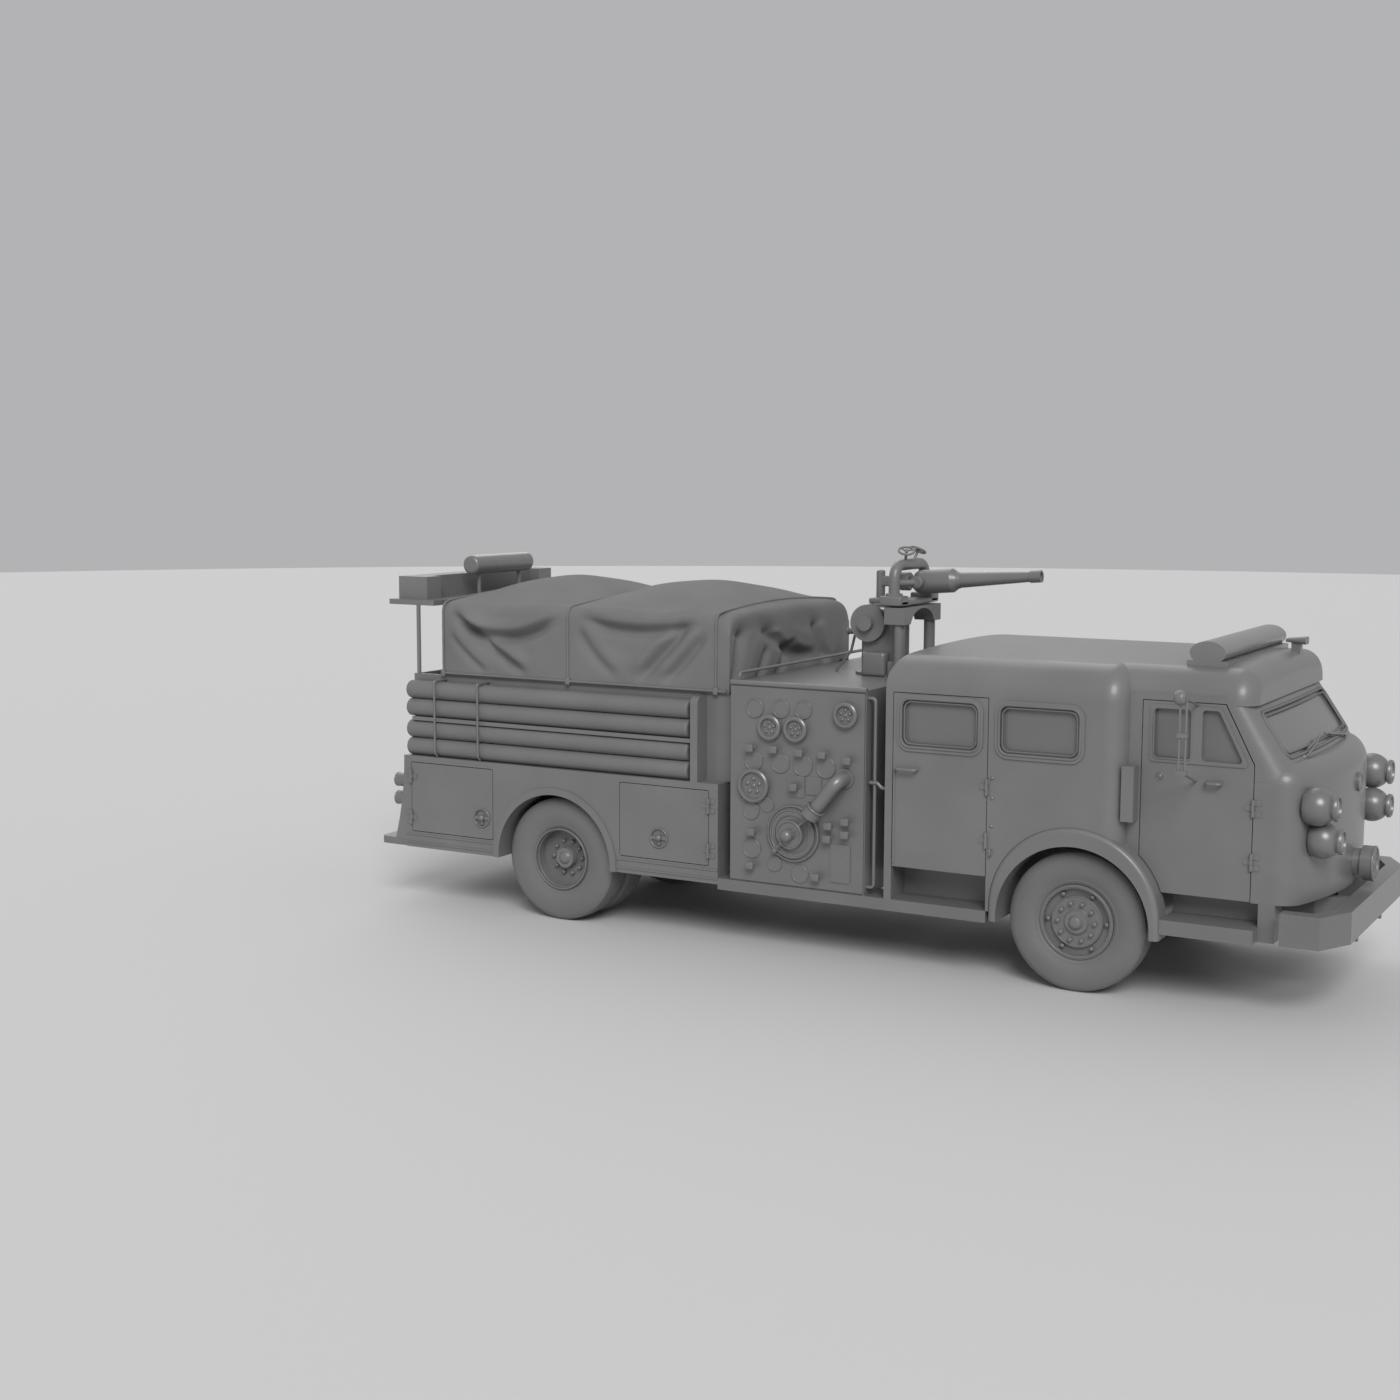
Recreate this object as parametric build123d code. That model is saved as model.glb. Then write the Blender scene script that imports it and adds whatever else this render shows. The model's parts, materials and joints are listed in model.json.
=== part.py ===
"""Fire engine: a cab-forward pumper with a crew canopy, a covered hose bed and a deck gun.

Millimetres. +X is the nose, +Y the left side, +Z up; the origin lies on the ground under
the middle of the overall length.
"""
from build123d import *
import math
import os

# Driving sizes
OVERALL_LENGTH = 8230
BODY_WIDTH = 2440
FRONT_OVERHANG = 1888
REAR_OVERHANG_SHARE = 0.2238153
CAB_SIDE_INSET = 130
RUNNING_CLEARANCE = 0.3
SHUT_GAP = 6
CUT_MARGIN = 1
SPLIT_MARGIN = 100

# Main stations
NOSE_X = OVERALL_LENGTH / 2
TAIL_X = -OVERALL_LENGTH / 2
FRONT_AXLE_X = NOSE_X - FRONT_OVERHANG
REAR_AXLE_X = TAIL_X + REAR_OVERHANG_SHARE * OVERALL_LENGTH
BODY_HALF = BODY_WIDTH / 2
CAB_HALF = BODY_HALF - CAB_SIDE_INSET

# Wheels
TYRE_RADIUS = 520
TYRE_WIDTH = 262
TYRE_BEAD_WIDTH = 200
TYRE_CROWN_WIDTH = 200
TYRE_CROWN_RISE = 9
FRONT_RIM_RADIUS = 276
REAR_RIM_RADIUS = 262
RIM_WALL = 14
RIM_LIP = 12
FRONT_WHEEL_INSET = 215
REAR_WHEEL_INSET = 210
DUAL_SPACING = 305
FRONT_DISC_OFFSET = 62
REAR_DISC_OFFSET = -22
DISC_THICKNESS = 20
HUB_FLANGE_RADIUS = 182
HUB_RADIUS = 95
HUB_CAP_RADIUS = 55
WHEEL_NUTS = 10
NUT_CIRCLE_RADIUS = 140
NUT_RADIUS = 17
NUT_HEIGHT = 22
RIM_CLAMPS = 6
FRONT_WHEEL_Y = BODY_HALF - FRONT_WHEEL_INSET
REAR_WHEEL_Y = BODY_HALF - REAR_WHEEL_INSET

# Steering and axles
KINGPIN_INSET = 55
KINGPIN_RADIUS = 20
KINGPIN_BOSS_RADIUS = 45
KINGPIN_BOSS_HEIGHT = 110
KNUCKLE_EAR = 44
KNUCKLE_WEB = 34
KNUCKLE_GAP = 5
SPINDLE_RADIUS = 40
REAR_SPINDLE_RADIUS = 60
FRONT_BEAM_DROP = 135
FRONT_BEAM_HEIGHT = 90
FRONT_BEAM_WIDTH = 80
FRONT_BEAM_SHOULDER = 10
REAR_TUBE_RADIUS = 75
REAR_HUB_GAP = 5
DIFFERENTIAL_RADIUS = 210
PROP_SHAFT_RADIUS = 45
PROP_SHAFT_TRIM = 200
KINGPIN_Y = FRONT_WHEEL_Y - KINGPIN_INSET

# Frame and engine
RAIL_HALF_SHARE = 0.1762295
RAIL_HALF = RAIL_HALF_SHARE * BODY_WIDTH
RAIL_FLANGE = 75
RAIL_THICKNESS = 10
RAIL_BOTTOM = TYRE_RADIUS + 80
RAIL_TOP = RAIL_BOTTOM + 230
RAIL_END_INSET = 180
OUTRIGGER_WIDTH = 80
OUTRIGGER_HEIGHT = 90
TAIL_OUTRIGGER_INSET = 300
PUMP_OUTRIGGER_SHARE = 0.2133
PAD_FROM_CANOPY = 250
PAD_FROM_AXLE = 750
SPRING_WIDTH = 70
SPRING_THICKNESS = 60
FRONT_SPRING_SPAN = 1200
REAR_SPRING_SPAN = 1300
ENGINE_LENGTH = 1050
ENGINE_SIDE_GAP = 110
ENGINE_HALF = RAIL_HALF - ENGINE_SIDE_GAP
ENGINE_BOTTOM = RAIL_BOTTOM + 40
ENGINE_TOP = 1370
ENGINE_SETBACK = 112
ENGINE_MID_X = FRONT_AXLE_X - ENGINE_SETBACK
ENGINE_MOUNT_REACH = 300

# Cab shell
CAB_WALL = 45
OPEN_DROP = 100
CANOPY_AHEAD_OF_AXLE = 350
CANOPY_LENGTH = 1835
CANOPY_FRONT_X = FRONT_AXLE_X + CANOPY_AHEAD_OF_AXLE
CANOPY_REAR_X = CANOPY_FRONT_X - CANOPY_LENGTH
CANOPY_SILL_Z = 546
CANOPY_CORNER_RADIUS = 150
CANOPY_REAR_ROOF_RADIUS = 290
REAR_ROOF_LIFT = 40
ROOF_CROWN_Z = 2440
ROOF_CAMBER = 60.65
ROOF_CROWN_RADIUS = (BODY_HALF ** 2 + ROOF_CAMBER ** 2) / (2 * ROOF_CAMBER)
ROOF_SHOULDER = 240
CAB_ROOF_SHOULDER = 210
ROOF_SEAM_Z = 2130
ROOF_FRONT_X = NOSE_X - 663
ROOF_FRONT_RADIUS = 150
ROOF_LIP_Z = 2165
CAB_JOIN_X = FRONT_AXLE_X + 173
SKIN_FRONT_X = NOSE_X - 176
SKIN_BOTTOM_Z = 800
SKIN_BOW_RADIUS = 3060
SKIN_CORNER_RADIUS = 180
COWL_Z = 1775
COWL_RADIUS = 150
SCREEN_LOW_Z = 1650
SCREEN_LOW_X = SKIN_FRONT_X - 127
SCREEN_HIGH_Z = 2230
SCREEN_HIGH_X = SKIN_FRONT_X - 561
SCREEN_LOW_BOW = 8300
SCREEN_HIGH_BOW = 40000
SCREEN_LOW_CORNER = 200
SCREEN_HIGH_CORNER = 110
SCREEN_SIDE_MARGIN = 150
SCREEN_OPENING_HALF = CAB_HALF - SCREEN_SIDE_MARGIN
SCREEN_OPENING_TOP_Z = 2112
SCREEN_OPENING_BOTTOM_Z = 1806
SCREEN_CORNER = 60
SCREEN_CUT_REACH = 150
GLASS_INSET = 18
GLASS_THICKNESS = 8
VENT_BEHIND_CANOPY = 17
VENT_AHEAD_OF_CANOPY = 73
VENT_Z = (1307, 1704)
VENT_SIDE_INSET = 15
VENT_ROOT = 10

# Fenders and steps
ARCH_CLEARANCE = 55
ARCH_RADIUS = TYRE_RADIUS + ARCH_CLEARANCE
FENDER_BAND = 65
FENDER_RADIUS = ARCH_RADIUS + FENDER_BAND
FENDER_RISE = 70
FENDER_BOTTOM_Z = TYRE_RADIUS - 40
FENDER_PROUD = 25
FENDER_FLARE_DEPTH = 190
FENDER_ROUND = 38
WELL_LINER = 20
REAR_ARCH_CLEARANCE = 40
REAR_ARCH_RADIUS = TYRE_RADIUS + REAR_ARCH_CLEARANCE
REAR_ARCH_LIP = 58
REAR_ARCH_PROUD = 14
STEP_DEPTH = 320
STEP_INNER_HALF = BODY_HALF - STEP_DEPTH
STEP_TOP_Z = CANOPY_SILL_Z
RUNNING_BOARD_Z = 456
RUNNING_BOARD_LAP = 8
FRONT_STEP_Z = 530
FRONT_STEP_HEIGHT = 106
FRONT_STEP_FRONT_X = NOSE_X - 595
FRONT_SKIRT_LENGTH = 115
FLOOR_Z = RAIL_TOP + 20
FLOOR_THICKNESS = 40
KICK_HALF = BODY_HALF - 290
KICK_THICKNESS = 20
KICK_LAP = 20

# Doors
DOOR_FENDER_GAP = 30
CREW_DOOR_REAR_X = CANOPY_REAR_X + 65
CREW_DOOR_FRONT_X = FRONT_AXLE_X - FENDER_RADIUS - DOOR_FENDER_GAP
CREW_DOOR_BOTTOM_Z = 805
CREW_DOOR_TOP_Z = 2124
FRONT_DOOR_REAR_X = FRONT_AXLE_X + 443
FRONT_DOOR_FRONT_X = SKIN_FRONT_X - 480
FRONT_DOOR_LENGTH = FRONT_DOOR_FRONT_X - FRONT_DOOR_REAR_X
FRONT_DOOR_BOTTOM_Z = 806
FRONT_DOOR_TOP_Z = 2170
FRONT_DOOR_PILLAR_X = FRONT_DOOR_FRONT_X - 0.265 * FRONT_DOOR_LENGTH
FRONT_DOOR_PILLAR_Z = 1760
PILLAR_SEAM_DROP = 60
WINDOW_LOW_Z = 1722
WINDOW_HIGH_Z = 2088
WINDOW_CORNER = 70
WINDOW_FRAME = 30
WINDOW_FRAME_PROUD = 14
WINDOW_DOOR_MARGIN = 64
FIXED_WINDOW_GAP = 90
FIXED_WINDOW_LENGTH = 615
CREW_WINDOW_X = (CREW_DOOR_REAR_X + WINDOW_DOOR_MARGIN, CREW_DOOR_FRONT_X - WINDOW_DOOR_MARGIN)
FIXED_WINDOW_REAR_X = CREW_DOOR_FRONT_X + FIXED_WINDOW_GAP
FIXED_WINDOW_X = (FIXED_WINDOW_REAR_X, FIXED_WINDOW_REAR_X + FIXED_WINDOW_LENGTH)
DOOR_PANE_LOW_Z = FRONT_DOOR_PILLAR_Z + 5
DOOR_PANE_HIGH_Z = FRONT_DOOR_TOP_Z - 46
DOOR_PANE_REAR_X = FRONT_DOOR_REAR_X + 0.1014 * FRONT_DOOR_LENGTH
DOOR_PANE_FOOT_X = FRONT_DOOR_FRONT_X - 0.0837 * FRONT_DOOR_LENGTH
DOOR_PANE_POST_X = (FRONT_DOOR_REAR_X + 0.4436 * FRONT_DOOR_LENGTH,
                    FRONT_DOOR_REAR_X + 0.5387 * FRONT_DOOR_LENGTH)
DOOR_PANE_CORNER = 25
DOOR_FRAME_BAND = 24
DOOR_FRAME_PROUD = 10
SIDE_GLASS_INSET = 30
HINGE_RADIUS = 12
HINGE_STANDOFF = 14
HINGE_HEIGHT = 120
HINGE_LEAF = 58
HINGE_LEAF_THICKNESS = 6
HINGE_WALL_LEAF = 24
FRONT_HINGE_Z = (1087, 1465)
CREW_HINGE_Z = (1076, 1472)
LOCKER_HINGE_Z = (760, 1120)
HANDLE_RADIUS = 13
HANDLE_STANDOFF = 55
CREW_HANDLE_X = (CREW_DOOR_REAR_X + 40, CREW_DOOR_REAR_X + 200)
CREW_HANDLE_Z = 1555
FRONT_HANDLE_X = (FRONT_DOOR_FRONT_X - 320, FRONT_DOOR_FRONT_X - 220)
FRONT_HANDLE_Z = 1618
MIRROR_X = (DOOR_PANE_POST_X[0] + DOOR_PANE_POST_X[1]) / 2
MIRROR_REACH = 360
MIRROR_LOW_Z = 1728
MIRROR_HIGH_Z = 2242
MIRROR_ROD_RADIUS = 9
MIRROR_ROD_SPACING = 44
MIRROR_CLAMP = 15
MIRROR_ARM_LOW_Z = 1611
MIRROR_ARM_HIGH_Z = 2148
MIRROR_HEAD_RADIUS = 52
MIRROR_HEAD_DEPTH = 84
MIRROR_HEAD_ROUND = 34

# Cab inside
DASH_REAR_X = NOSE_X - 595
DASH_LOW_Z = 1260
DASH_HIGH_Z = 1590
DASH_LOW_SETBACK = 60
DASH_TOP_SETBACK = 70
DASH_BROW = 90
DASH_ROUND = 25
ENGINE_COVER_X = (FRONT_AXLE_X - 667, FRONT_AXLE_X + 463)
ENGINE_COVER_HALF = RAIL_HALF - 5
ENGINE_COVER_TOP_Z = 1420
ENGINE_COVER_ROUND = 60
WELL_INNER_HALF = ENGINE_COVER_HALF + 125
SEAT_X = (FRONT_DOOR_REAR_X + 0.2155 * FRONT_DOOR_LENGTH, DASH_REAR_X - 0.342 * FRONT_DOOR_LENGTH)
SEAT_INNER_HALF = ENGINE_COVER_HALF + 45
SEAT_OUTER_HALF = CAB_HALF - 110
SEAT_Z = 1150
SEAT_CUSHION = 110
SEAT_BACK_HEIGHT = 560
SEAT_BACK_THICKNESS = 90
SEAT_ROUND = 25
SEAT_GAP = 1
BENCH_FRONT_X = CANOPY_REAR_X + 448
BENCH_HALF = BODY_HALF - 520
BENCH_Z = 1230
STEERING_Y = (SEAT_INNER_HALF + SEAT_OUTER_HALF) / 2 - 25
STEERING_X = DASH_REAR_X - 120
STEERING_Z = 1480
STEERING_RADIUS = 215
STEERING_RIM = 15
STEERING_BOSS_RADIUS = 45
STEERING_BOSS_HEIGHT = 40
STEERING_SPOKE_WIDTH = 30
STEERING_SPOKE_DEPTH = 12
STEERING_SPOKE_TURNS = (90, 210, 330)
STEERING_COLUMN_RADIUS = 28
STEERING_COLUMN_DROP = 250

# Pump house
CANOPY_GAP = 167
BODY_GAP = 106
LOCKER_END_MARGIN = 87
LOCKER_ARCH_MARGIN = 93
PUMP_SHARE = 0.5854146
PUMP_FRONT_X = CANOPY_REAR_X - CANOPY_GAP
FRONT_LOCKER_REAR_X = REAR_AXLE_X + REAR_ARCH_RADIUS + LOCKER_ARCH_MARGIN
PUMP_LENGTH = PUMP_SHARE * (PUMP_FRONT_X - BODY_GAP - LOCKER_END_MARGIN - FRONT_LOCKER_REAR_X)
PUMP_REAR_X = PUMP_FRONT_X - PUMP_LENGTH
PUMP_DECK_Z = 2120
PUMP_WALL = 40
PUMP_PANEL_THICKNESS = 15
PUMP_TUNNEL_SIDE = 60
PUMP_TUNNEL_TOP = 20
DECK_RIM_RADIUS = 22
GRAB_RAIL_OUT = 58
GRAB_RAIL_INSET = 40
GRAB_RAIL_END = 60
GRAB_RAIL_BEND = 30
GRAB_RAIL_ROOT = 5
DECK_RAIL_RISE = 70
DECK_RAIL_INSET = 40
PANEL_EDGE = 8
PANEL_FOOT_RISE = 14
PANEL_HEAD_GAP = 2
PLATE_CORNER = 15
PANEL_DISCS = [
    # share along the panel, z, radius, proud
    (0.190, 1931, 78, 6),
    (0.386, 1938, 74, 6),
    (0.552, 1942, 74, 6),
    (0.312, 1791, 96, 26),
    (0.505, 1791, 96, 26),
    (0.868, 1928, 96, 26),
    (0.195, 1324, 130, 26),
    (0.185, 1515, 80, 8),
    (0.385, 1515, 80, 8),
    (0.552, 1510, 84, 8),
    (0.720, 1510, 84, 8),
    (0.168, 1120, 72, 8),
    (0.288, 1180, 60, 8),
    (0.174, 821, 80, 8),
    (0.349, 717, 62, 8),
    (0.537, 660, 74, 8),
]
PANEL_KNOBS = [
    # share along the panel, z
    (0.177, 1623),
    (0.354, 1626),
    (0.544, 1616),
    (0.712, 1615),
    (0.892, 1585),
    (0.192, 960),
    (0.183, 694),
    (0.883, 1114),
    (0.883, 1013),
    (0.761, 1069),
    (0.754, 967),
    (0.505, 1345),
    (0.672, 659),
]
PANEL_PLATES = [
    # shares along the panel, z range, proud
    ((0.441, 0.566), (1260, 1430), 8),
    ((0.578, 0.689), (1290, 1430), 8),
    ((0.762, 0.904), (627, 925), 10),
]
KNOB_RADIUS = 28
KNOB_STEM_RADIUS = 10
KNOB_REACH = 60
KNOB_DEPTH = 18
INTAKE_SHARE = 0.490
INTAKE_Z = 975
INTAKE_RADIUS = 225
INTAKE_STEPS = [
    # share of the cap's radius, proud
    (1.0, 22),
    (0.82, 40),
    (0.49, 85),
    (0.21, 135),
]
INTAKE_LUG_TURNS = (45, 225)
INTAKE_LUG_LENGTH = 150
INTAKE_LUG_WIDTH = 36
INTAKE_LUG_INSET = 80
INTAKE_LUG_PROUD = 60
ELBOW_SHARE = 0.859
ELBOW_OUTLET_Z = 1440
ELBOW_RADIUS = 56
ELBOW_BEND = 75
ELBOW_DROP = 230
ELBOW_SLANT = 0.8
ELBOW_REACH = 130
ELBOW_FLANGE = 22
ELBOW_FLANGE_DEPTH = 18
ELBOW_CAP = 14
ELBOW_CAP_LENGTH = 50

# Rear body
BODY_REAR_X = TAIL_X + 288
BODY_FRONT_X = PUMP_REAR_X - BODY_GAP
BODY_BOTTOM_Z = TYRE_RADIUS - 25
LEDGE_Z = 1300
BODY_INNER_HALF = RAIL_HALF + 110
BODY_WALL = 30
TAIL_FLARE = 120
TAIL_POST_DEPTH = 200
TAIL_POST_LIP = 15
TAILBOARD_Z = BODY_BOTTOM_Z + 4
TAILBOARD_THICKNESS = 62
TAILBOARD_CORNER = 60
LOCKER_LOW_Z = 640
LOCKER_HIGH_Z = 1240
LOCKER_CORNER = 12
REAR_LOCKER_X = (BODY_REAR_X + 67, REAR_AXLE_X - REAR_ARCH_RADIUS - 67)
FRONT_LOCKER_X = (FRONT_LOCKER_REAR_X, BODY_FRONT_X - LOCKER_END_MARGIN)
LATCH_Z = 818
LATCH_RADIUS = 85
LATCH_RING = 16
LATCH_BAR = 28
LATCH_BAR_SHARE = 1.6
LATCH_PROUD = 8
REAR_LATCH_X = REAR_LOCKER_X[1] - 110
FRONT_LATCH_X = FRONT_LOCKER_X[0] + 0.45 * (FRONT_LOCKER_X[1] - FRONT_LOCKER_X[0])
MOULDING_Z = (531, 602)
MOULDING_HEIGHT = 14
MOULDING_PROUD = 8
BED_HALF = BODY_HALF - 160
BED_WALL = 30
BED_TOP_Z = 2000
BED_FRONT_X = BODY_FRONT_X + 23
BED_REAR_X = BODY_REAR_X - 15
SUCTION_HOSE_RADIUS = 77
SUCTION_HOSE_END_ROUND = 22
RACK_PLATE_X = BODY_FRONT_X - 257
RACK_PLATE_LENGTH = 66
RACK_PLATE_CORNER = 60
RACK_FOOT_HEIGHT = 120
RACK_TOP_DROP = 15
RACK_SIDE_INSET = 2
RACK_RAIL_INSET = 20
HOSE_REAR_X = BODY_REAR_X + 4
HOSE_FRONT_X = RACK_PLATE_X - 36
HOSE_RAIL_HEIGHT = 32
TIE_BAR_X = (BODY_REAR_X + 334, BODY_REAR_X + 789)
TIE_ROD_RADIUS = 10
TIE_ROD_BEND = 16
TIE_ROD_SIDE_GAP = 4
TIE_ROD_TOP_GAP = 14
TIE_FOOT_INSET = 30
TIE_FOOT_RISE = 45

# Cover over the hose bed
COVER_HALF = BED_HALF + 25
COVER_REAR_X = BODY_REAR_X + 314
COVER_FRONT_X = BODY_FRONT_X + 31
COVER_BOW_SHARES = (0, 0.4576, 0.9581, 1)
COVER_EAVE_Z = 2560
COVER_CROWN_Z = 2845
COVER_VALLEY_Z = 2690
COVER_RISES = (132, 132, -15)
COVER_EDGE_RADIUS = 110
COVER_THICKNESS = 14

# Lamp arch and light bars
ARCH_SHELF_Z = 2595
ARCH_SHELF_THICKNESS = 45
ARCH_SHELF_FRONT_X = BODY_REAR_X + 197
ARCH_SHELF_HALF = BODY_HALF - 170
ARCH_BEAM_REAR_X = TAIL_X + 32
ARCH_BEAM_FRONT_X = TAIL_X + 242
ARCH_BEAM_TOP_Z = 2836
ARCH_BEAM_HALF = BODY_HALF - 265
ARCH_END_BOX = 200
ARCH_END_REACH = 100
ARCH_POST_X = BODY_REAR_X + 27
ARCH_POST_RADIUS = 18
REAR_BAR_X = BODY_REAR_X + 137
REAR_BAR_Z = 2922
REAR_BAR_RADIUS = 86
REAR_BAR_HALF = 440
REAR_BAR_POST_RADIUS = 18
REAR_BAR_POST_SHARE = 0.7
FRONT_BAR_X = ROOF_FRONT_X - 398
FRONT_BAR_WIDTH = 254
FRONT_BAR_HEIGHT = 138
FRONT_BAR_FLAT_SHARE = 0.4
FRONT_BAR_HALF = CAB_HALF - 210
FRONT_BAR_PLATE = 290
FRONT_BAR_PLATE_SINK = 60
FRONT_BAR_PLATE_TOP_Z = ROOF_CROWN_Z + 8
HEADLAMPS = [
    # set back from the nose, inset from the cab's side, z, bowl radius
    (82, 155, 1490, 135),
    (57, 245, 1243, 130),
]
LAMP_NECK_SHARE = 0.6
LAMP_BOWL_SHARE = 0.8
LAMP_LENS_GAP = 5
TAIL_LAMPS = [
    # z, radius
    (900, 60),
    (1060, 60),
]
TAIL_LAMP_INSET = 100
TAIL_LAMP_PROUD = 40

# Front fittings
BUMPER_BOTTOM_Z = 550
BUMPER_TOP_Z = 778
BUMPER_REAR_X = NOSE_X - 418
BUMPER_CORNER_X = NOSE_X - 148
BUMPER_NOSE_HALF = BODY_HALF - 305
BUMPER_WALL = 12
BUMPER_FLANGE = 120
TOW_EYE_INSET = 105
TOW_EYE_WIDTH = 110
TOW_EYE_Z = 515
TOW_EYE_BOTTOM_Z = 460
TOW_EYE_RADIUS = 28
TOW_EYE_THICKNESS = 30
TOW_EYE_ROOT = 10
SIREN_Z = 950
SIREN_RADIUS = 128
SIREN_LENGTH = 140
SIREN_NECK_SHARE = 0.8
SIREN_STEPS = (0.4, 0.55)
NOSE_ROOT = 60
EMBLEM_Z = 1540
EMBLEM_RADIUS = 68
EMBLEM_PROUD = 16
HORN_X = ROOF_FRONT_X - 135
HORN_Y = (468, 532)
HORN_Z = 2505
HORN_LENGTH = 150
HORN_REAR_RADIUS = 13
HORN_BELL_RADIUS = 30
HORN_FOOT_LENGTH = 70
HORN_FOOT_SINK = 40

# Deck gun
GUN_DECK_SHARE = 0.3413
GUN_X = PUMP_FRONT_X - GUN_DECK_SHARE * PUMP_LENGTH
GUN_COLUMN = 310
GUN_COLUMN_ROUND = 40
GUN_COLUMN_TOP_Z = PUMP_DECK_Z + 520
GUN_SEAT_HEIGHT = 30
GUN_SEAT_LAP = 5
GUN_SWIVEL_RADIUS = 150
GUN_SWIVEL_STEP = 10
GUN_GEAR_X = GUN_X - 68
GUN_GEAR_Z = GUN_COLUMN_TOP_Z - 95
GUN_GEAR_STEPS = [
    # radius, proud
    (150, 60),
    (60, 120),
]
GUN_FOOT_RADIUS = 242
GUN_FOOT_HEIGHT = 24
GUN_YOKE_Z = GUN_COLUMN_TOP_Z + 60
GUN_YOKE_HEIGHT = 64
GUN_YOKE_REAR = 90
GUN_YOKE_FRONT = 70
GUN_YOKE_ROUND = 35
GUN_TRUNNION_X = GUN_X + 325
GUN_TRUNNION_Z = GUN_YOKE_Z + 180
GUN_TRUNNION_RADIUS = 62
GUN_PIN_RADIUS = 30
GUN_CHEEK_GAP = 12
GUN_CHEEK_PROUD = 8
GUN_LOOP_HALF = 165
GUN_LOOP_RADIUS = 45
GUN_LOOP_BEND = 98
GUN_LOOP_ROOT = 20
GUN_LOOP_TOP_Z = GUN_TRUNNION_Z + 105
GUN_LOOP_REAR_X = GUN_X + 125
GUN_WHEEL_RADIUS = 75
GUN_WHEEL_RIM = 10
GUN_WHEEL_RISE = 150
GUN_WHEEL_AHEAD = 40
GUN_WHEEL_STEM = 12
GUN_WHEEL_SPOKE_WIDTH = 14
GUN_WHEEL_SPOKE_TURNS = (0, 120, 240)
GUN_BARREL_RADIUS = 96
GUN_BARREL_LENGTH = 300
GUN_NOZZLE_LENGTH = 700
GUN_SHOULDER = 40
GUN_NECK_RADIUS = 70
GUN_THROAT_RADIUS = 62
GUN_THROAT_LENGTH = 30
GUN_TAPER_RADIUS = 40
GUN_TIP_RADIUS = 48
GUN_TIP_LENGTH = 90
GUN_MOUTH_RADIUS = 34
GUN_MOUTH_DEPTH = 20
GUN_REST_ELEVATION = 4.3


def block(x, y, z):
    """Box between three (low, high) pairs."""
    size = [high - low for low, high in (x, y, z)]
    middle = [(high + low) / 2 for low, high in (x, y, z)]
    return Pos(*middle) * Box(*size)


def across(face, y):
    """Extrude an XZ face along Y between a (low, high) pair."""
    low, high = y
    return extrude(Plane.XZ.offset(-high) * face, amount=high - low)


def along(face, x):
    """Extrude a YZ face along X between a (low, high) pair."""
    low, high = x
    return extrude(Plane.YZ.offset(low) * face, amount=high - low)


def upright(face, z):
    """Extrude an XY face along Z between a (low, high) pair."""
    low, high = z
    return extrude(Plane.XY.offset(low) * face, amount=high - low)


def rod(start, end, radius):
    """Round bar between two points."""
    run = Vector(*end) - Vector(*start)
    bottom = (Align.CENTER, Align.CENTER, Align.MIN)
    return Plane(origin=start, z_dir=run) * Cylinder(radius, run.length, align=bottom)


def bent_rod(points, bend, radius):
    """Round bar along straight runs with rounded corners."""
    path = FilletPolyline(*points, radius=bend)
    return sweep(Plane(origin=path @ 0, z_dir=path % 0) * Circle(radius), path=path)


def mirrored(shape):
    """The same shape on the left side."""
    return mirror(shape, about=Plane.XZ)


def both_sides(*shapes):
    """Right-hand shapes with their left-hand twins, as one node of separate solids."""
    everything = [piece for shape in shapes for piece in (shape, mirrored(shape))]
    return group(*everything)


def group(*shapes):
    """Several separate solids as one node."""
    return Compound([solid for shape in shapes for solid in shape.solids()])


def rectangle(x, z):
    """XZ face between two (low, high) pairs."""
    return Pos((x[0] + x[1]) / 2, (z[0] + z[1]) / 2) * Rectangle(x[1] - x[0], z[1] - z[0])


def rounded_rectangle(x, z, radius):
    """XZ face between two (low, high) pairs with rounded corners."""
    middle = Pos((x[0] + x[1]) / 2, (z[0] + z[1]) / 2)
    return middle * RectangleRounded(x[1] - x[0], z[1] - z[0], radius)


def around_axle(profile, x, y):
    """Turn a (radius, outward) profile about a left-hand wheel's axis."""
    return Pos(x, y, TYRE_RADIUS) * revolve(profile, axis=Axis.Y)


# Wheels


def tyre(rim_radius, x, y):
    """Tyre with bulged walls and a crowned tread, mid-plane at y."""
    bead = TYRE_BEAD_WIDTH / 2
    crown = TYRE_CROWN_WIDTH / 2
    wall_radius = (rim_radius + TYRE_RADIUS) / 2
    edge_radius = TYRE_RADIUS - TYRE_CROWN_RISE
    outline = [
        Line((rim_radius, -bead), (rim_radius, bead)),
        ThreePointArc((rim_radius, bead), (wall_radius, TYRE_WIDTH / 2), (edge_radius, crown)),
        ThreePointArc((edge_radius, crown), (TYRE_RADIUS, 0), (edge_radius, -crown)),
        ThreePointArc((edge_radius, -crown), (wall_radius, -TYRE_WIDTH / 2), (rim_radius, -bead)),
    ]
    return around_axle(make_face(outline), x, y)


def wheel_nuts(x, y, count, circle, radius, height):
    """Ring of hexagon nuts standing outward from y."""
    nuts = []
    for index in range(count):
        turn = 2 * math.pi * index / count
        middle = Pos(circle * math.cos(turn), circle * math.sin(turn))
        nuts.append(Pos(x, 0, TYRE_RADIUS) * across(middle * RegularPolygon(radius, 6), (y, y + height)))
    return nuts


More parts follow.
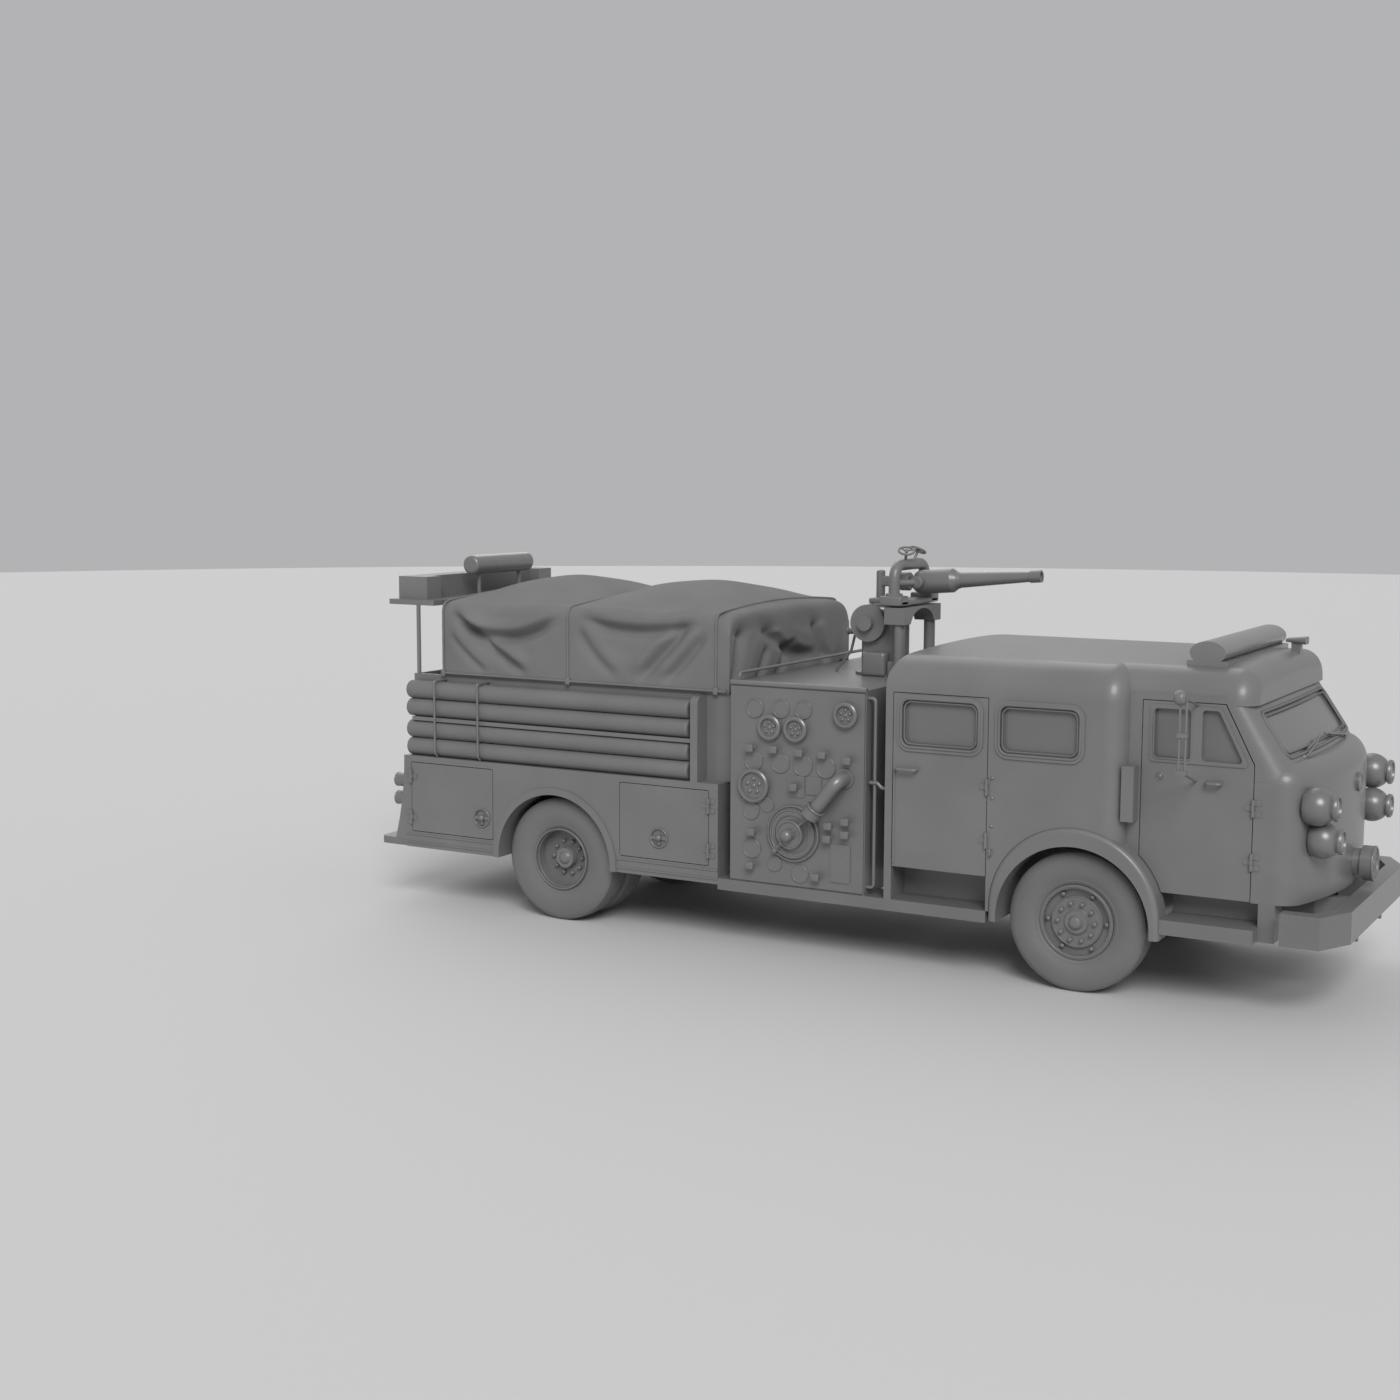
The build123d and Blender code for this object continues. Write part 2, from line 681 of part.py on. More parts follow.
def front_wheel(x, y):
    """Convex disc wheel whose flange and hub stand outward, with a blind bearing bore."""
    outer = FRONT_RIM_RADIUS - RUNNING_CLEARANCE
    inner = FRONT_RIM_RADIUS - RIM_WALL
    bead = TYRE_BEAD_WIDTH / 2
    bore = SPINDLE_RADIUS + RUNNING_CLEARANCE
    back = FRONT_DISC_OFFSET - DISC_THICKNESS
    face = FRONT_DISC_OFFSET
    flange = face + DISC_THICKNESS + RIM_LIP
    profile = make_face(Polyline(
        (bore, back), (inner, back), (inner, -bead), (outer, -bead), (outer, bead + RIM_LIP),
        (inner - RIM_LIP, bead + RIM_LIP), (inner - RIM_LIP, face), (HUB_FLANGE_RADIUS + RIM_LIP, face),
        (HUB_FLANGE_RADIUS, flange), (HUB_RADIUS, flange), (HUB_RADIUS - RIM_LIP, flange + 2 * RIM_LIP),
        (HUB_CAP_RADIUS, flange + 2 * RIM_LIP), (HUB_CAP_RADIUS - RIM_LIP, flange + 4 * RIM_LIP),
        (0, flange + 4 * RIM_LIP), (0, flange + RIM_LIP), (bore, flange + RIM_LIP), close=True))
    wheel = around_axle(profile, x, y)
    wheel += wheel_nuts(x, y + flange, WHEEL_NUTS, NUT_CIRCLE_RADIUS, NUT_RADIUS, NUT_HEIGHT)
    clamp_circle = (HUB_FLANGE_RADIUS + inner) / 2
    return wheel + wheel_nuts(x, y + face, RIM_CLAMPS, clamp_circle, NUT_RADIUS, NUT_HEIGHT)


def rear_wheel(x, y):
    """Deep dished twin wheel: one barrel through both tyres, its disc set well in."""
    outer = REAR_RIM_RADIUS - RUNNING_CLEARANCE
    inner = REAR_RIM_RADIUS - RIM_WALL
    bead = TYRE_BEAD_WIDTH / 2
    bore = REAR_SPINDLE_RADIUS + RUNNING_CLEARANCE
    back = REAR_DISC_OFFSET - DISC_THICKNESS
    face = REAR_DISC_OFFSET
    inboard = -DUAL_SPACING - bead
    hub_face = face + 6 * RIM_LIP
    profile = make_face(Polyline(
        (bore, inboard), (HUB_RADIUS, inboard), (HUB_RADIUS, back), (inner, back), (inner, inboard),
        (outer, inboard), (outer, bead + RIM_LIP), (inner, bead + RIM_LIP), (inner, face),
        (HUB_RADIUS, face), (HUB_RADIUS - RIM_LIP, hub_face), (HUB_CAP_RADIUS, hub_face),
        (HUB_CAP_RADIUS - RIM_LIP, hub_face + RIM_LIP), (0, hub_face + RIM_LIP),
        (0, hub_face - RIM_LIP), (bore, hub_face - RIM_LIP), close=True))
    wheel = around_axle(profile, x, y)
    return wheel + wheel_nuts(x, y + face, WHEEL_NUTS, NUT_CIRCLE_RADIUS, NUT_RADIUS, NUT_HEIGHT)


# Axles, springs and frame


def knuckle():
    """Left steering knuckle: a fork with its kingpin round the axle's boss, and the spindle."""
    ear_low = KINGPIN_BOSS_HEIGHT / 2 + RUNNING_CLEARANCE
    ear_high = ear_low + KNUCKLE_EAR
    web_in = KINGPIN_BOSS_RADIUS + KNUCKLE_GAP
    web_out = web_in + KNUCKLE_WEB
    fork = Cylinder(KINGPIN_RADIUS, 2 * ear_high)
    for low, high in ((ear_low, ear_high), (-ear_high, -ear_low)):
        fork += Pos(0, 0, (low + high) / 2) * Cylinder(KINGPIN_BOSS_RADIUS, high - low)
        fork += block((-KINGPIN_BOSS_RADIUS, KINGPIN_BOSS_RADIUS), (0, web_out), (low, high))
    fork += block((-KINGPIN_BOSS_RADIUS, KINGPIN_BOSS_RADIUS), (web_in, web_out), (-ear_high, ear_high))
    hub_end = KINGPIN_INSET + FRONT_DISC_OFFSET + DISC_THICKNESS + 2 * RIM_LIP - RUNNING_CLEARANCE
    fork += rod((0, web_out, 0), (0, hub_end, 0), SPINDLE_RADIUS)
    return Pos(FRONT_AXLE_X, KINGPIN_Y, TYRE_RADIUS) * fork


def front_axle_beam():
    """Dropped beam with upright kingpin bosses at its ends."""
    low = TYRE_RADIUS - FRONT_BEAM_DROP
    end = KINGPIN_Y - KINGPIN_BOSS_RADIUS / 2
    shoulder = (RAIL_HALF + KINGPIN_Y) / 2 + FRONT_BEAM_SHOULDER
    half = FRONT_BEAM_HEIGHT / 2
    outline = Polyline(
        (-end, TYRE_RADIUS - half), (-shoulder, low), (shoulder, low), (end, TYRE_RADIUS - half),
        (end, TYRE_RADIUS + half), (shoulder, low + FRONT_BEAM_HEIGHT),
        (-shoulder, low + FRONT_BEAM_HEIGHT), (-end, TYRE_RADIUS + half), close=True)
    reach = FRONT_BEAM_WIDTH / 2
    beam = along(make_face(outline), (FRONT_AXLE_X - reach, FRONT_AXLE_X + reach))
    for side in (1, -1):
        boss = Pos(FRONT_AXLE_X, side * KINGPIN_Y, TYRE_RADIUS)
        beam += boss * Cylinder(KINGPIN_BOSS_RADIUS, KINGPIN_BOSS_HEIGHT)
        beam -= boss * Cylinder(KINGPIN_RADIUS + RUNNING_CLEARANCE, KINGPIN_BOSS_HEIGHT)
    return beam


def rear_axle():
    """Axle tube with its round differential, wheel spindles and the shaft from the engine."""
    hub_in = REAR_WHEEL_Y - DUAL_SPACING - TYRE_BEAD_WIDTH / 2
    spindle_end = REAR_WHEEL_Y + REAR_DISC_OFFSET + 5 * RIM_LIP - RUNNING_CLEARANCE
    centre = Pos(REAR_AXLE_X, 0, TYRE_RADIUS)
    axle = centre * (Rot(90, 0, 0) * Cylinder(REAR_TUBE_RADIUS, 2 * (hub_in - REAR_HUB_GAP)))
    axle += centre * (Rot(90, 0, 0) * Cylinder(REAR_SPINDLE_RADIUS, 2 * spindle_end))
    axle += centre * Sphere(DIFFERENTIAL_RADIUS)
    shaft_front = ENGINE_MID_X - ENGINE_LENGTH / 2
    shaft_z = ENGINE_BOTTOM + 2 * PROP_SHAFT_RADIUS
    axle += rod((REAR_AXLE_X, 0, TYRE_RADIUS), (shaft_front, 0, shaft_z), PROP_SHAFT_RADIUS)
    trim = block((shaft_front, shaft_front + PROP_SHAFT_TRIM), (-PROP_SHAFT_TRIM, PROP_SHAFT_TRIM),
                 (shaft_z - PROP_SHAFT_TRIM, shaft_z + PROP_SHAFT_TRIM))
    return axle - trim


def leaf_spring(x, seat_z, span, hung):
    """One bowed leaf pack from the rail down to the axle's seat."""
    low = seat_z - SPRING_THICKNESS if hung else seat_z
    rear, front = x - span / 2, x + span / 2
    eye_z = RAIL_BOTTOM - SPRING_THICKNESS
    lower = ThreePointArc((rear, eye_z), (x, low), (front, eye_z))
    upper = ThreePointArc((rear, RAIL_BOTTOM), (x, low + SPRING_THICKNESS), (front, RAIL_BOTTOM))
    ends = [Line(lower @ 0, upper @ 0), Line(lower @ 1, upper @ 1)]
    middle = -(RAIL_HALF - RAIL_FLANGE / 2)
    return across(make_face([lower, upper, *ends]), (middle - SPRING_WIDTH / 2, middle + SPRING_WIDTH / 2))


def leaf_springs():
    """Four leaf packs: on the front beam and under the rear axle."""
    beam_top = TYRE_RADIUS - FRONT_BEAM_DROP + FRONT_BEAM_HEIGHT
    tube_bottom = TYRE_RADIUS - REAR_TUBE_RADIUS
    front = leaf_spring(FRONT_AXLE_X, beam_top, FRONT_SPRING_SPAN, hung=False)
    rear = leaf_spring(REAR_AXLE_X, tube_bottom, REAR_SPRING_SPAN, hung=True)
    return both_sides(front, rear)


def rail_span():
    """X span of the frame rails."""
    return (BODY_REAR_X + BODY_WALL, SKIN_FRONT_X - RAIL_END_INSET)


def frame_rails():
    """Two channel rails with pads under the cab floor."""
    outer, inner = -RAIL_HALF, -RAIL_HALF + RAIL_FLANGE
    rail = block(rail_span(), (outer, inner), (RAIL_BOTTOM, RAIL_TOP))
    rail -= block(rail_span(), (outer + RAIL_THICKNESS, inner),
                  (RAIL_BOTTOM + RAIL_THICKNESS, RAIL_TOP - RAIL_THICKNESS))
    half = OUTRIGGER_WIDTH / 2
    pads = (CANOPY_REAR_X + PAD_FROM_CANOPY, FRONT_AXLE_X - PAD_FROM_AXLE, FRONT_AXLE_X + PAD_FROM_AXLE)
    for x in pads:
        rail += block((x - half, x + half), (outer, inner), (RAIL_TOP, FLOOR_Z))
    return both_sides(rail)


def cross_members():
    """Outriggers for the bodies, engine mounts and the members between the rails."""
    half = OUTRIGGER_WIDTH / 2
    tail, nose = rail_span()
    locker_mid = (FRONT_LOCKER_X[0] + FRONT_LOCKER_X[1]) / 2
    pump_step = PUMP_OUTRIGGER_SHARE * PUMP_LENGTH
    pump_reach = BODY_HALF - PUMP_PANEL_THICKNESS - PUMP_WALL
    outriggers = [
        # x, half width reached
        (BODY_REAR_X + TAIL_OUTRIGGER_INSET, BODY_INNER_HALF),
        (locker_mid, BODY_INNER_HALF),
        (PUMP_REAR_X + pump_step, pump_reach),
        (PUMP_FRONT_X - pump_step, pump_reach),
    ]
    high = (RAIL_TOP - OUTRIGGER_HEIGHT, RAIL_TOP)
    under = (RAIL_TOP - OUTRIGGER_HEIGHT, RAIL_TOP - RAIL_THICKNESS)
    web = RAIL_HALF - RAIL_THICKNESS
    sides = [block((x - half, x + half), (-reach, -RAIL_HALF), high) for x, reach in outriggers]
    for x in (ENGINE_MID_X - ENGINE_MOUNT_REACH, ENGINE_MID_X + ENGINE_MOUNT_REACH):
        sides.append(block((x - half, x + half), (-web, -ENGINE_HALF), under))
    middles = []
    for x in (tail + half, locker_mid, PUMP_REAR_X + pump_step, nose - half):
        middles.append(block((x - half, x + half), (-web, web), under))
    return group(both_sides(*sides), *middles)


# Cab forms


def cab_section(half, floor_z, shoulder, inset):
    """Cab cross-section: upright sides, round shoulders and a crowned roof."""
    side = half - inset
    width = shoulder - inset
    shoulder_y = side - width
    crown_radius = ROOF_CROWN_RADIUS - inset
    slope = math.asin(shoulder_y / crown_radius)
    crown_z = ROOF_CROWN_Z - inset
    shoulder_z = crown_z - crown_radius * (1 - math.cos(slope))
    spring_z = shoulder_z - width * math.tan((math.pi / 2 + slope) / 2)
    return make_face([
        Line((-side, floor_z), (side, floor_z)),
        Line((side, floor_z), (side, spring_z)),
        TangentArc((side, spring_z), (shoulder_y, shoulder_z), tangent=(0, 1)),
        ThreePointArc((shoulder_y, shoulder_z), (0, crown_z), (-shoulder_y, shoulder_z)),
        TangentArc((-side, spring_z), (-shoulder_y, shoulder_z), tangent=(0, 1)),
        Line((-side, spring_z), (-side, floor_z)),
    ])


def round_front(form, radius):
    """Round the front rim of a cab form, all but its bottom edge."""
    rim = form.faces().sort_by(Axis.X)[-1].edges().sort_by(Axis.Z)[1:]
    return fillet(rim, radius)


def canopy_form(inset, floor_z):
    """Wide crew canopy with a rounded front rim and a large round at the rear of its roof."""
    rear = CANOPY_REAR_X + inset
    front = CANOPY_FRONT_X - inset
    form = along(cab_section(BODY_HALF, floor_z, ROOF_SHOULDER, inset), (rear, front))
    form = round_front(form, CANOPY_CORNER_RADIUS - inset)
    radius = CANOPY_REAR_ROOF_RADIUS - inset
    top = ROOF_CROWN_Z + REAR_ROOF_LIFT - inset
    side = Polyline((rear, floor_z), (front, floor_z), (front, top), (rear + radius, top))
    rounding = RadiusArc((rear + radius, top), (rear, top - radius), -radius)
    profile = make_face([side, rounding, Line((rear, top - radius), (rear, floor_z))])
    return form & across(profile, (-BODY_HALF, BODY_HALF))


def plan(half, front_x, bow, corner):
    """Cab plan from its join to a bowed front with rounded corners."""
    side_x = front_x - (bow - math.sqrt(bow ** 2 - half ** 2))
    face = make_face([
        Line((CAB_JOIN_X, -half), (side_x, -half)),
        ThreePointArc((side_x, -half), (front_x, 0), (side_x, half)),
        Line((side_x, half), (CAB_JOIN_X, half)),
        Line((CAB_JOIN_X, half), (CAB_JOIN_X, -half)),
    ])
    corners = [vertex for vertex in face.vertices() if vertex.X > CAB_JOIN_X + CUT_MARGIN]
    return fillet(corners, corner)


def nose_form(inset, floor_z):
    """Bowed nose below the windscreen with a rounded cowl edge."""
    face = plan(CAB_HALF - inset, SKIN_FRONT_X - inset, SKIN_BOW_RADIUS, SKIN_CORNER_RADIUS - inset)
    form = upright(face, (floor_z, COWL_Z - inset))
    rim = form.faces().sort_by(Axis.Z)[-1].edges().sort_by(Axis.X)[1:]
    return fillet(rim, COWL_RADIUS - inset)


def screen_form(inset):
    """Upper cab round the windscreen, leaning back as it rises."""
    half = CAB_HALF - inset
    lean = math.hypot(1, (SCREEN_LOW_X - SCREEN_HIGH_X) / (SCREEN_HIGH_Z - SCREEN_LOW_Z))
    low = plan(half, SCREEN_LOW_X - inset * lean, SCREEN_LOW_BOW, SCREEN_LOW_CORNER - inset)
    high = plan(half, SCREEN_HIGH_X - inset * lean, SCREEN_HIGH_BOW, SCREEN_HIGH_CORNER - inset)
    sections = [Plane.XY.offset(SCREEN_LOW_Z) * low, Plane.XY.offset(SCREEN_HIGH_Z) * high]
    return loft(sections, ruled=True)


def cab_roof_form(inset):
    """Roof of the narrower front cab, rounded down to a lip over the windscreen."""
    section = cab_section(CAB_HALF, ROOF_LIP_Z, CAB_ROOF_SHOULDER, inset)
    form = along(section, (CAB_JOIN_X, ROOF_FRONT_X - inset))
    return round_front(form, ROOF_FRONT_RADIUS - inset)


def cab_form(inset, open_below=False):
    """Whole cab as one solid, inset from the outer skin."""
    drop = OPEN_DROP if open_below else 0
    canopy = canopy_form(inset, CANOPY_SILL_Z - drop)
    return canopy + nose_form(inset, SKIN_BOTTOM_Z - drop) + screen_form(inset) + cab_roof_form(inset)


def arch_outline(x, centre_z, radius, bottom):
    """Half circle on two upright legs."""
    left, right = x - radius, x + radius
    legs = Polyline((left, centre_z), (left, bottom), (right, bottom), (right, centre_z))
    return make_face([legs, ThreePointArc((right, centre_z), (x, centre_z + radius), (left, centre_z))])


def fender_face(grow=0):
    """Outline of the front fender: a raised arc on two straight legs."""
    radius = FENDER_RADIUS + grow
    centre_z = TYRE_RADIUS + FENDER_RISE
    return arch_outline(FRONT_AXLE_X, centre_z, radius, FENDER_BOTTOM_Z)


def arch_face(x, radius, bottom):
    """Round wheel arch open at its foot."""
    return arch_outline(x, TYRE_RADIUS, radius, bottom)


# Doors and windows


def crew_door_face(grow=0):
    """Outline of the crew door."""
    low_z = CREW_DOOR_BOTTOM_Z - grow
    x = (CREW_DOOR_REAR_X - grow, CREW_DOOR_FRONT_X + grow)
    return rectangle(x, (low_z, CREW_DOOR_TOP_Z + grow))


def front_door_face(grow=0):
    """Outline of the front door, cut round the fender and slanted at the windscreen pillar."""
    rear = FRONT_DOOR_REAR_X - grow
    front = FRONT_DOOR_FRONT_X + grow
    low = FRONT_DOOR_BOTTOM_Z - grow
    high = FRONT_DOOR_TOP_Z + grow
    outline = Polyline((rear, low), (front, low), (front, FRONT_DOOR_PILLAR_Z + grow),
                       (FRONT_DOOR_PILLAR_X + grow, high), (rear, high), close=True)
    return make_face(outline) - fender_face(SHUT_GAP - grow)


def crew_window_face(x, grow=0):
    """Crew window opening with round corners."""
    z = (WINDOW_LOW_Z - grow, WINDOW_HIGH_Z + grow)
    return rounded_rectangle((x[0] - grow, x[1] + grow), z, WINDOW_CORNER + grow)


def slanted_face(rear, grow):
    """Window outline whose front edge leans with the windscreen pillar."""
    lean = (FRONT_DOOR_FRONT_X - FRONT_DOOR_PILLAR_X) / (FRONT_DOOR_TOP_Z - FRONT_DOOR_PILLAR_Z)
    low, high = DOOR_PANE_LOW_Z - grow, DOOR_PANE_HIGH_Z + grow
    foot = DOOR_PANE_FOOT_X + grow * math.hypot(1, lean) + lean * grow
    head = foot - lean * (high - low)
    back = rear - grow
    outline = make_face(Polyline((back, low), (foot, low), (head, high), (back, high), close=True))
    return fillet(outline.vertices(), DOOR_PANE_CORNER)


def door_pane_faces():
    """The two panes of a front door: a rear pane and one slanted at the pillar."""
    rear = (DOOR_PANE_REAR_X, DOOR_PANE_POST_X[0])
    return [
        rounded_rectangle(rear, (DOOR_PANE_LOW_Z, DOOR_PANE_HIGH_Z), DOOR_PANE_CORNER),
        slanted_face(DOOR_PANE_POST_X[1], 0),
    ]


def pane(face, half):
    """Right-hand window pane set back in its opening."""
    outer = -(half - SIDE_GLASS_INSET)
    return across(face, (outer, outer + GLASS_THICKNESS))


def window_frame(face, hole, half):
    """Raised frame round a right-hand window."""
    return across(face - hole, (-half - WINDOW_FRAME_PROUD, -half))


def right_wall(half):
    """Y span of a right-hand cab wall."""
    return (-half, -half + CAB_WALL)


def hinge_axis_y(half):
    """Y of a right-hand hinge axis, just outside the skin."""
    return -half - HINGE_STANDOFF


def hinge_leaf(x, half, z, reach):
    """One hinge leaf with its barrel; reach is how far it runs from the axis."""
    y = hinge_axis_y(half)
    leaf = block((min(x, x + reach), max(x, x + reach)), (-half - HINGE_LEAF_THICKNESS, -half), z)
    bar = block((min(x, x + reach / 3), max(x, x + reach / 3)), (y, -half), z)
    barrel = rod((x, y, z[0]), (x, y, z[1]), HINGE_RADIUS)
    return leaf + bar + barrel


def hinges(x, half, heights, moving, reach):
    """Right-hand hinge leaves: the door's middle barrel, or the wall's pair above and below."""
    leaves = []
    third = HINGE_HEIGHT / 3
    for z in heights:
        if moving:
            tight = third / 2 - RUNNING_CLEARANCE
            leaves.append(hinge_leaf(x, half, (z - tight, z + tight), reach))
        else:
            leaves.append(hinge_leaf(x, half, (z + third / 2, z + 1.5 * third), reach))
            leaves.append(hinge_leaf(x, half, (z - 1.5 * third, z - third / 2), reach))
    return leaves


def door_handle(x, half, z):
    """Horizontal pull handle on two short stems."""
    y = -half - HANDLE_STANDOFF
    points = [(x[0], -half, z), (x[0], y, z), (x[1], y, z), (x[1], -half, z)]
    return bent_rod(points, 2 * HANDLE_RADIUS, HANDLE_RADIUS)


def crew_door():
    """Right crew door with its window, frame, hinges and pull handle."""
    window = crew_window_face(CREW_WINDOW_X)
    door = across(crew_door_face() - window, right_wall(BODY_HALF))
    door += window_frame(crew_window_face(CREW_WINDOW_X, WINDOW_FRAME), window, BODY_HALF)
    axis = CREW_DOOR_FRONT_X + SHUT_GAP / 2
    door += hinges(axis, BODY_HALF, CREW_HINGE_Z, True, -HINGE_LEAF)
    return door + door_handle(CREW_HANDLE_X, BODY_HALF, CREW_HANDLE_Z)


def mirror_assembly():
    """Right door mirror: twin upright rods with clamps, two arms and a small round head."""
    y = -CAB_HALF - MIRROR_REACH
    arm_y = -CAB_HALF + CAB_WALL / 2
    half = MIRROR_ROD_SPACING / 2
    arm_low = rod((MIRROR_X, y, MIRROR_LOW_Z), (MIRROR_X, arm_y, MIRROR_ARM_LOW_Z), MIRROR_ROD_RADIUS)
    arm_high = rod((MIRROR_X, y, MIRROR_HIGH_Z), (MIRROR_X, arm_y, MIRROR_ARM_HIGH_Z), MIRROR_ROD_RADIUS)
    frame = arm_low + arm_high
    for x in (MIRROR_X - half, MIRROR_X + half):
        frame += rod((x, y, MIRROR_LOW_Z), (x, y, MIRROR_HIGH_Z), MIRROR_ROD_RADIUS)
    reach = half + MIRROR_CLAMP
    for z in (MIRROR_LOW_Z, (MIRROR_LOW_Z + MIRROR_HIGH_Z) / 2, MIRROR_HIGH_Z):
        frame += block((MIRROR_X - reach, MIRROR_X + reach), (y - MIRROR_CLAMP, y + MIRROR_CLAMP),
                       (z - MIRROR_CLAMP, z + MIRROR_CLAMP))
    head = Rot(0, 90, 0) * Cylinder(MIRROR_HEAD_RADIUS, MIRROR_HEAD_DEPTH)
    head = fillet(head.edges().filter_by(GeomType.CIRCLE), MIRROR_HEAD_ROUND)
    return frame + Pos(MIRROR_X - half, y, MIRROR_HIGH_Z) * head


def front_door():
    """Right front door with two panes cut, a raised window frame, hinges, handle and mirror."""
    face = front_door_face()
    frame = slanted_face(DOOR_PANE_REAR_X, DOOR_FRAME_BAND)
    for hole in door_pane_faces():
        face -= hole
        frame -= hole
    door = across(face, right_wall(CAB_HALF))
    door += across(frame, (-CAB_HALF - DOOR_FRAME_PROUD, -CAB_HALF))
    axis = FRONT_DOOR_FRONT_X + SHUT_GAP / 2
    door += hinges(axis, CAB_HALF, FRONT_HINGE_Z, True, -HINGE_LEAF)
    door += door_handle(FRONT_HANDLE_X, CAB_HALF, FRONT_HANDLE_Z)
    return door + mirror_assembly()


# Cab panels


def cab_shell(outer, inner):
    """Outer skin with every door, window and arch cut out."""
    shell = outer - inner
    width = (-BODY_HALF - CUT_MARGIN, BODY_HALF + CUT_MARGIN)
    shell -= across(fender_face(), width)
    shell -= across(crew_door_face(SHUT_GAP), width)
    well = block((CREW_DOOR_REAR_X - SHUT_GAP, CREW_DOOR_FRONT_X + SHUT_GAP), width,
                 (CANOPY_SILL_Z - CUT_MARGIN, CREW_DOOR_BOTTOM_Z))
    shell -= well
    shell -= across(front_door_face(SHUT_GAP), width)
    shell -= across(crew_window_face(FIXED_WINDOW_X), width)
    low_back = block((CANOPY_REAR_X - CUT_MARGIN, CREW_DOOR_REAR_X - SHUT_GAP), (-KICK_HALF, KICK_HALF),
                     (CANOPY_SILL_Z - CUT_MARGIN, FLOOR_Z))
    shell -= low_back
    return shell - windscreen_cut()


def windscreen_cut():
    """Prism through the windscreen opening."""
    half = SCREEN_OPENING_HALF
    face = rounded_rectangle((-half, half), (SCREEN_OPENING_BOTTOM_Z, SCREEN_OPENING_TOP_Z), SCREEN_CORNER)
    return along(face, (SCREEN_HIGH_X - SCREEN_CUT_REACH, SKIN_FRONT_X))


def cab_panels(shell):
    """Split the shell at its seams: two roofs, rear wall, nose and the two sides."""
    wide = (-BODY_HALF - SPLIT_MARGIN, BODY_HALF + SPLIT_MARGIN)
    below = (0, ROOF_SEAM_Z)
    above = (ROOF_SEAM_Z, ROOF_CROWN_Z + SPLIT_MARGIN)
    rear_seam = CREW_DOOR_REAR_X - SHUT_GAP
    nose_seam = FRONT_DOOR_FRONT_X + SHUT_GAP
    canopy_roof = shell & block((TAIL_X, CANOPY_FRONT_X), wide, above)
    cab_roof = shell & block((CANOPY_FRONT_X, NOSE_X), wide, above)
    rear = shell & block((TAIL_X, rear_seam), wide, below)
    pillar = make_face(Polyline(
        (nose_seam, 0), (NOSE_X, 0), (NOSE_X, ROOF_SEAM_Z), (FRONT_DOOR_PILLAR_X, ROOF_SEAM_Z),
        (FRONT_DOOR_PILLAR_X, FRONT_DOOR_TOP_Z - PILLAR_SEAM_DROP), (nose_seam, FRONT_DOOR_PILLAR_Z),
        close=True))
    nose_space = across(pillar, wide)
    nose = shell & nose_space
    side = (shell & block((rear_seam, nose_seam), (wide[0], 0), below)) - nose_space
    window = crew_window_face(FIXED_WINDOW_X)
    side += window_frame(crew_window_face(FIXED_WINDOW_X, WINDOW_FRAME), window, BODY_HALF)
    side += block((CANOPY_FRONT_X - VENT_BEHIND_CANOPY, CANOPY_FRONT_X + VENT_AHEAD_OF_CANOPY),
                  (-BODY_HALF + VENT_SIDE_INSET, -CAB_HALF + VENT_ROOT), VENT_Z)
    crew_axis = CREW_DOOR_FRONT_X + SHUT_GAP / 2
    side += hinges(crew_axis, BODY_HALF, CREW_HINGE_Z, False, HINGE_WALL_LEAF)
    front_axis = FRONT_DOOR_FRONT_X + SHUT_GAP / 2
    nose_leaves = hinges(front_axis, CAB_HALF, FRONT_HINGE_Z, False, HINGE_LEAF)
    nose += nose_leaves + [mirrored(leaf) for leaf in nose_leaves]
    return {
        "canopy_roof": canopy_roof,
        "cab_roof": cab_roof,
        "cab_rear_wall": rear,
        "cab_front": nose,
        "cab_sides": both_sides(side),
    }


def front_fender():
    """Right fender: rounded flare, wheel well liner and inner wall in one pressing."""
    below = FENDER_BOTTOM_Z - CUT_MARGIN
    flare_face = fender_face() - arch_face(FRONT_AXLE_X, ARCH_RADIUS, below)
    outer_y = -BODY_HALF - FENDER_PROUD
    flare = across(flare_face, (outer_y, outer_y + FENDER_FLARE_DEPTH))
    axle = Vector(FRONT_AXLE_X, outer_y, TYRE_RADIUS)
    rim = [edge for edge in flare.faces().sort_by(Axis.Y)[0].edges()
           if (edge @ 0.5 - axle).length > ARCH_RADIUS + CUT_MARGIN
           and (edge @ 0.5).Z > FENDER_BOTTOM_Z + CUT_MARGIN]
    flare = fillet(rim, FENDER_ROUND)
    reach = ARCH_RADIUS + WELL_LINER
    ring = arch_face(FRONT_AXLE_X, reach, FENDER_BOTTOM_Z)
    ring -= arch_face(FRONT_AXLE_X, ARCH_RADIUS, below)
    liner = across(ring, (outer_y + FENDER_FLARE_DEPTH, -WELL_INNER_HALF))
    wall_face = arch_face(FRONT_AXLE_X, reach, FENDER_BOTTOM_Z)
    wall_face &= rectangle((FRONT_AXLE_X - reach, FRONT_AXLE_X + reach), (RAIL_TOP, TYRE_RADIUS + 2 * reach))
    wall = across(wall_face, (-WELL_INNER_HALF, -WELL_INNER_HALF + WELL_LINER))
    return flare + liner + wall


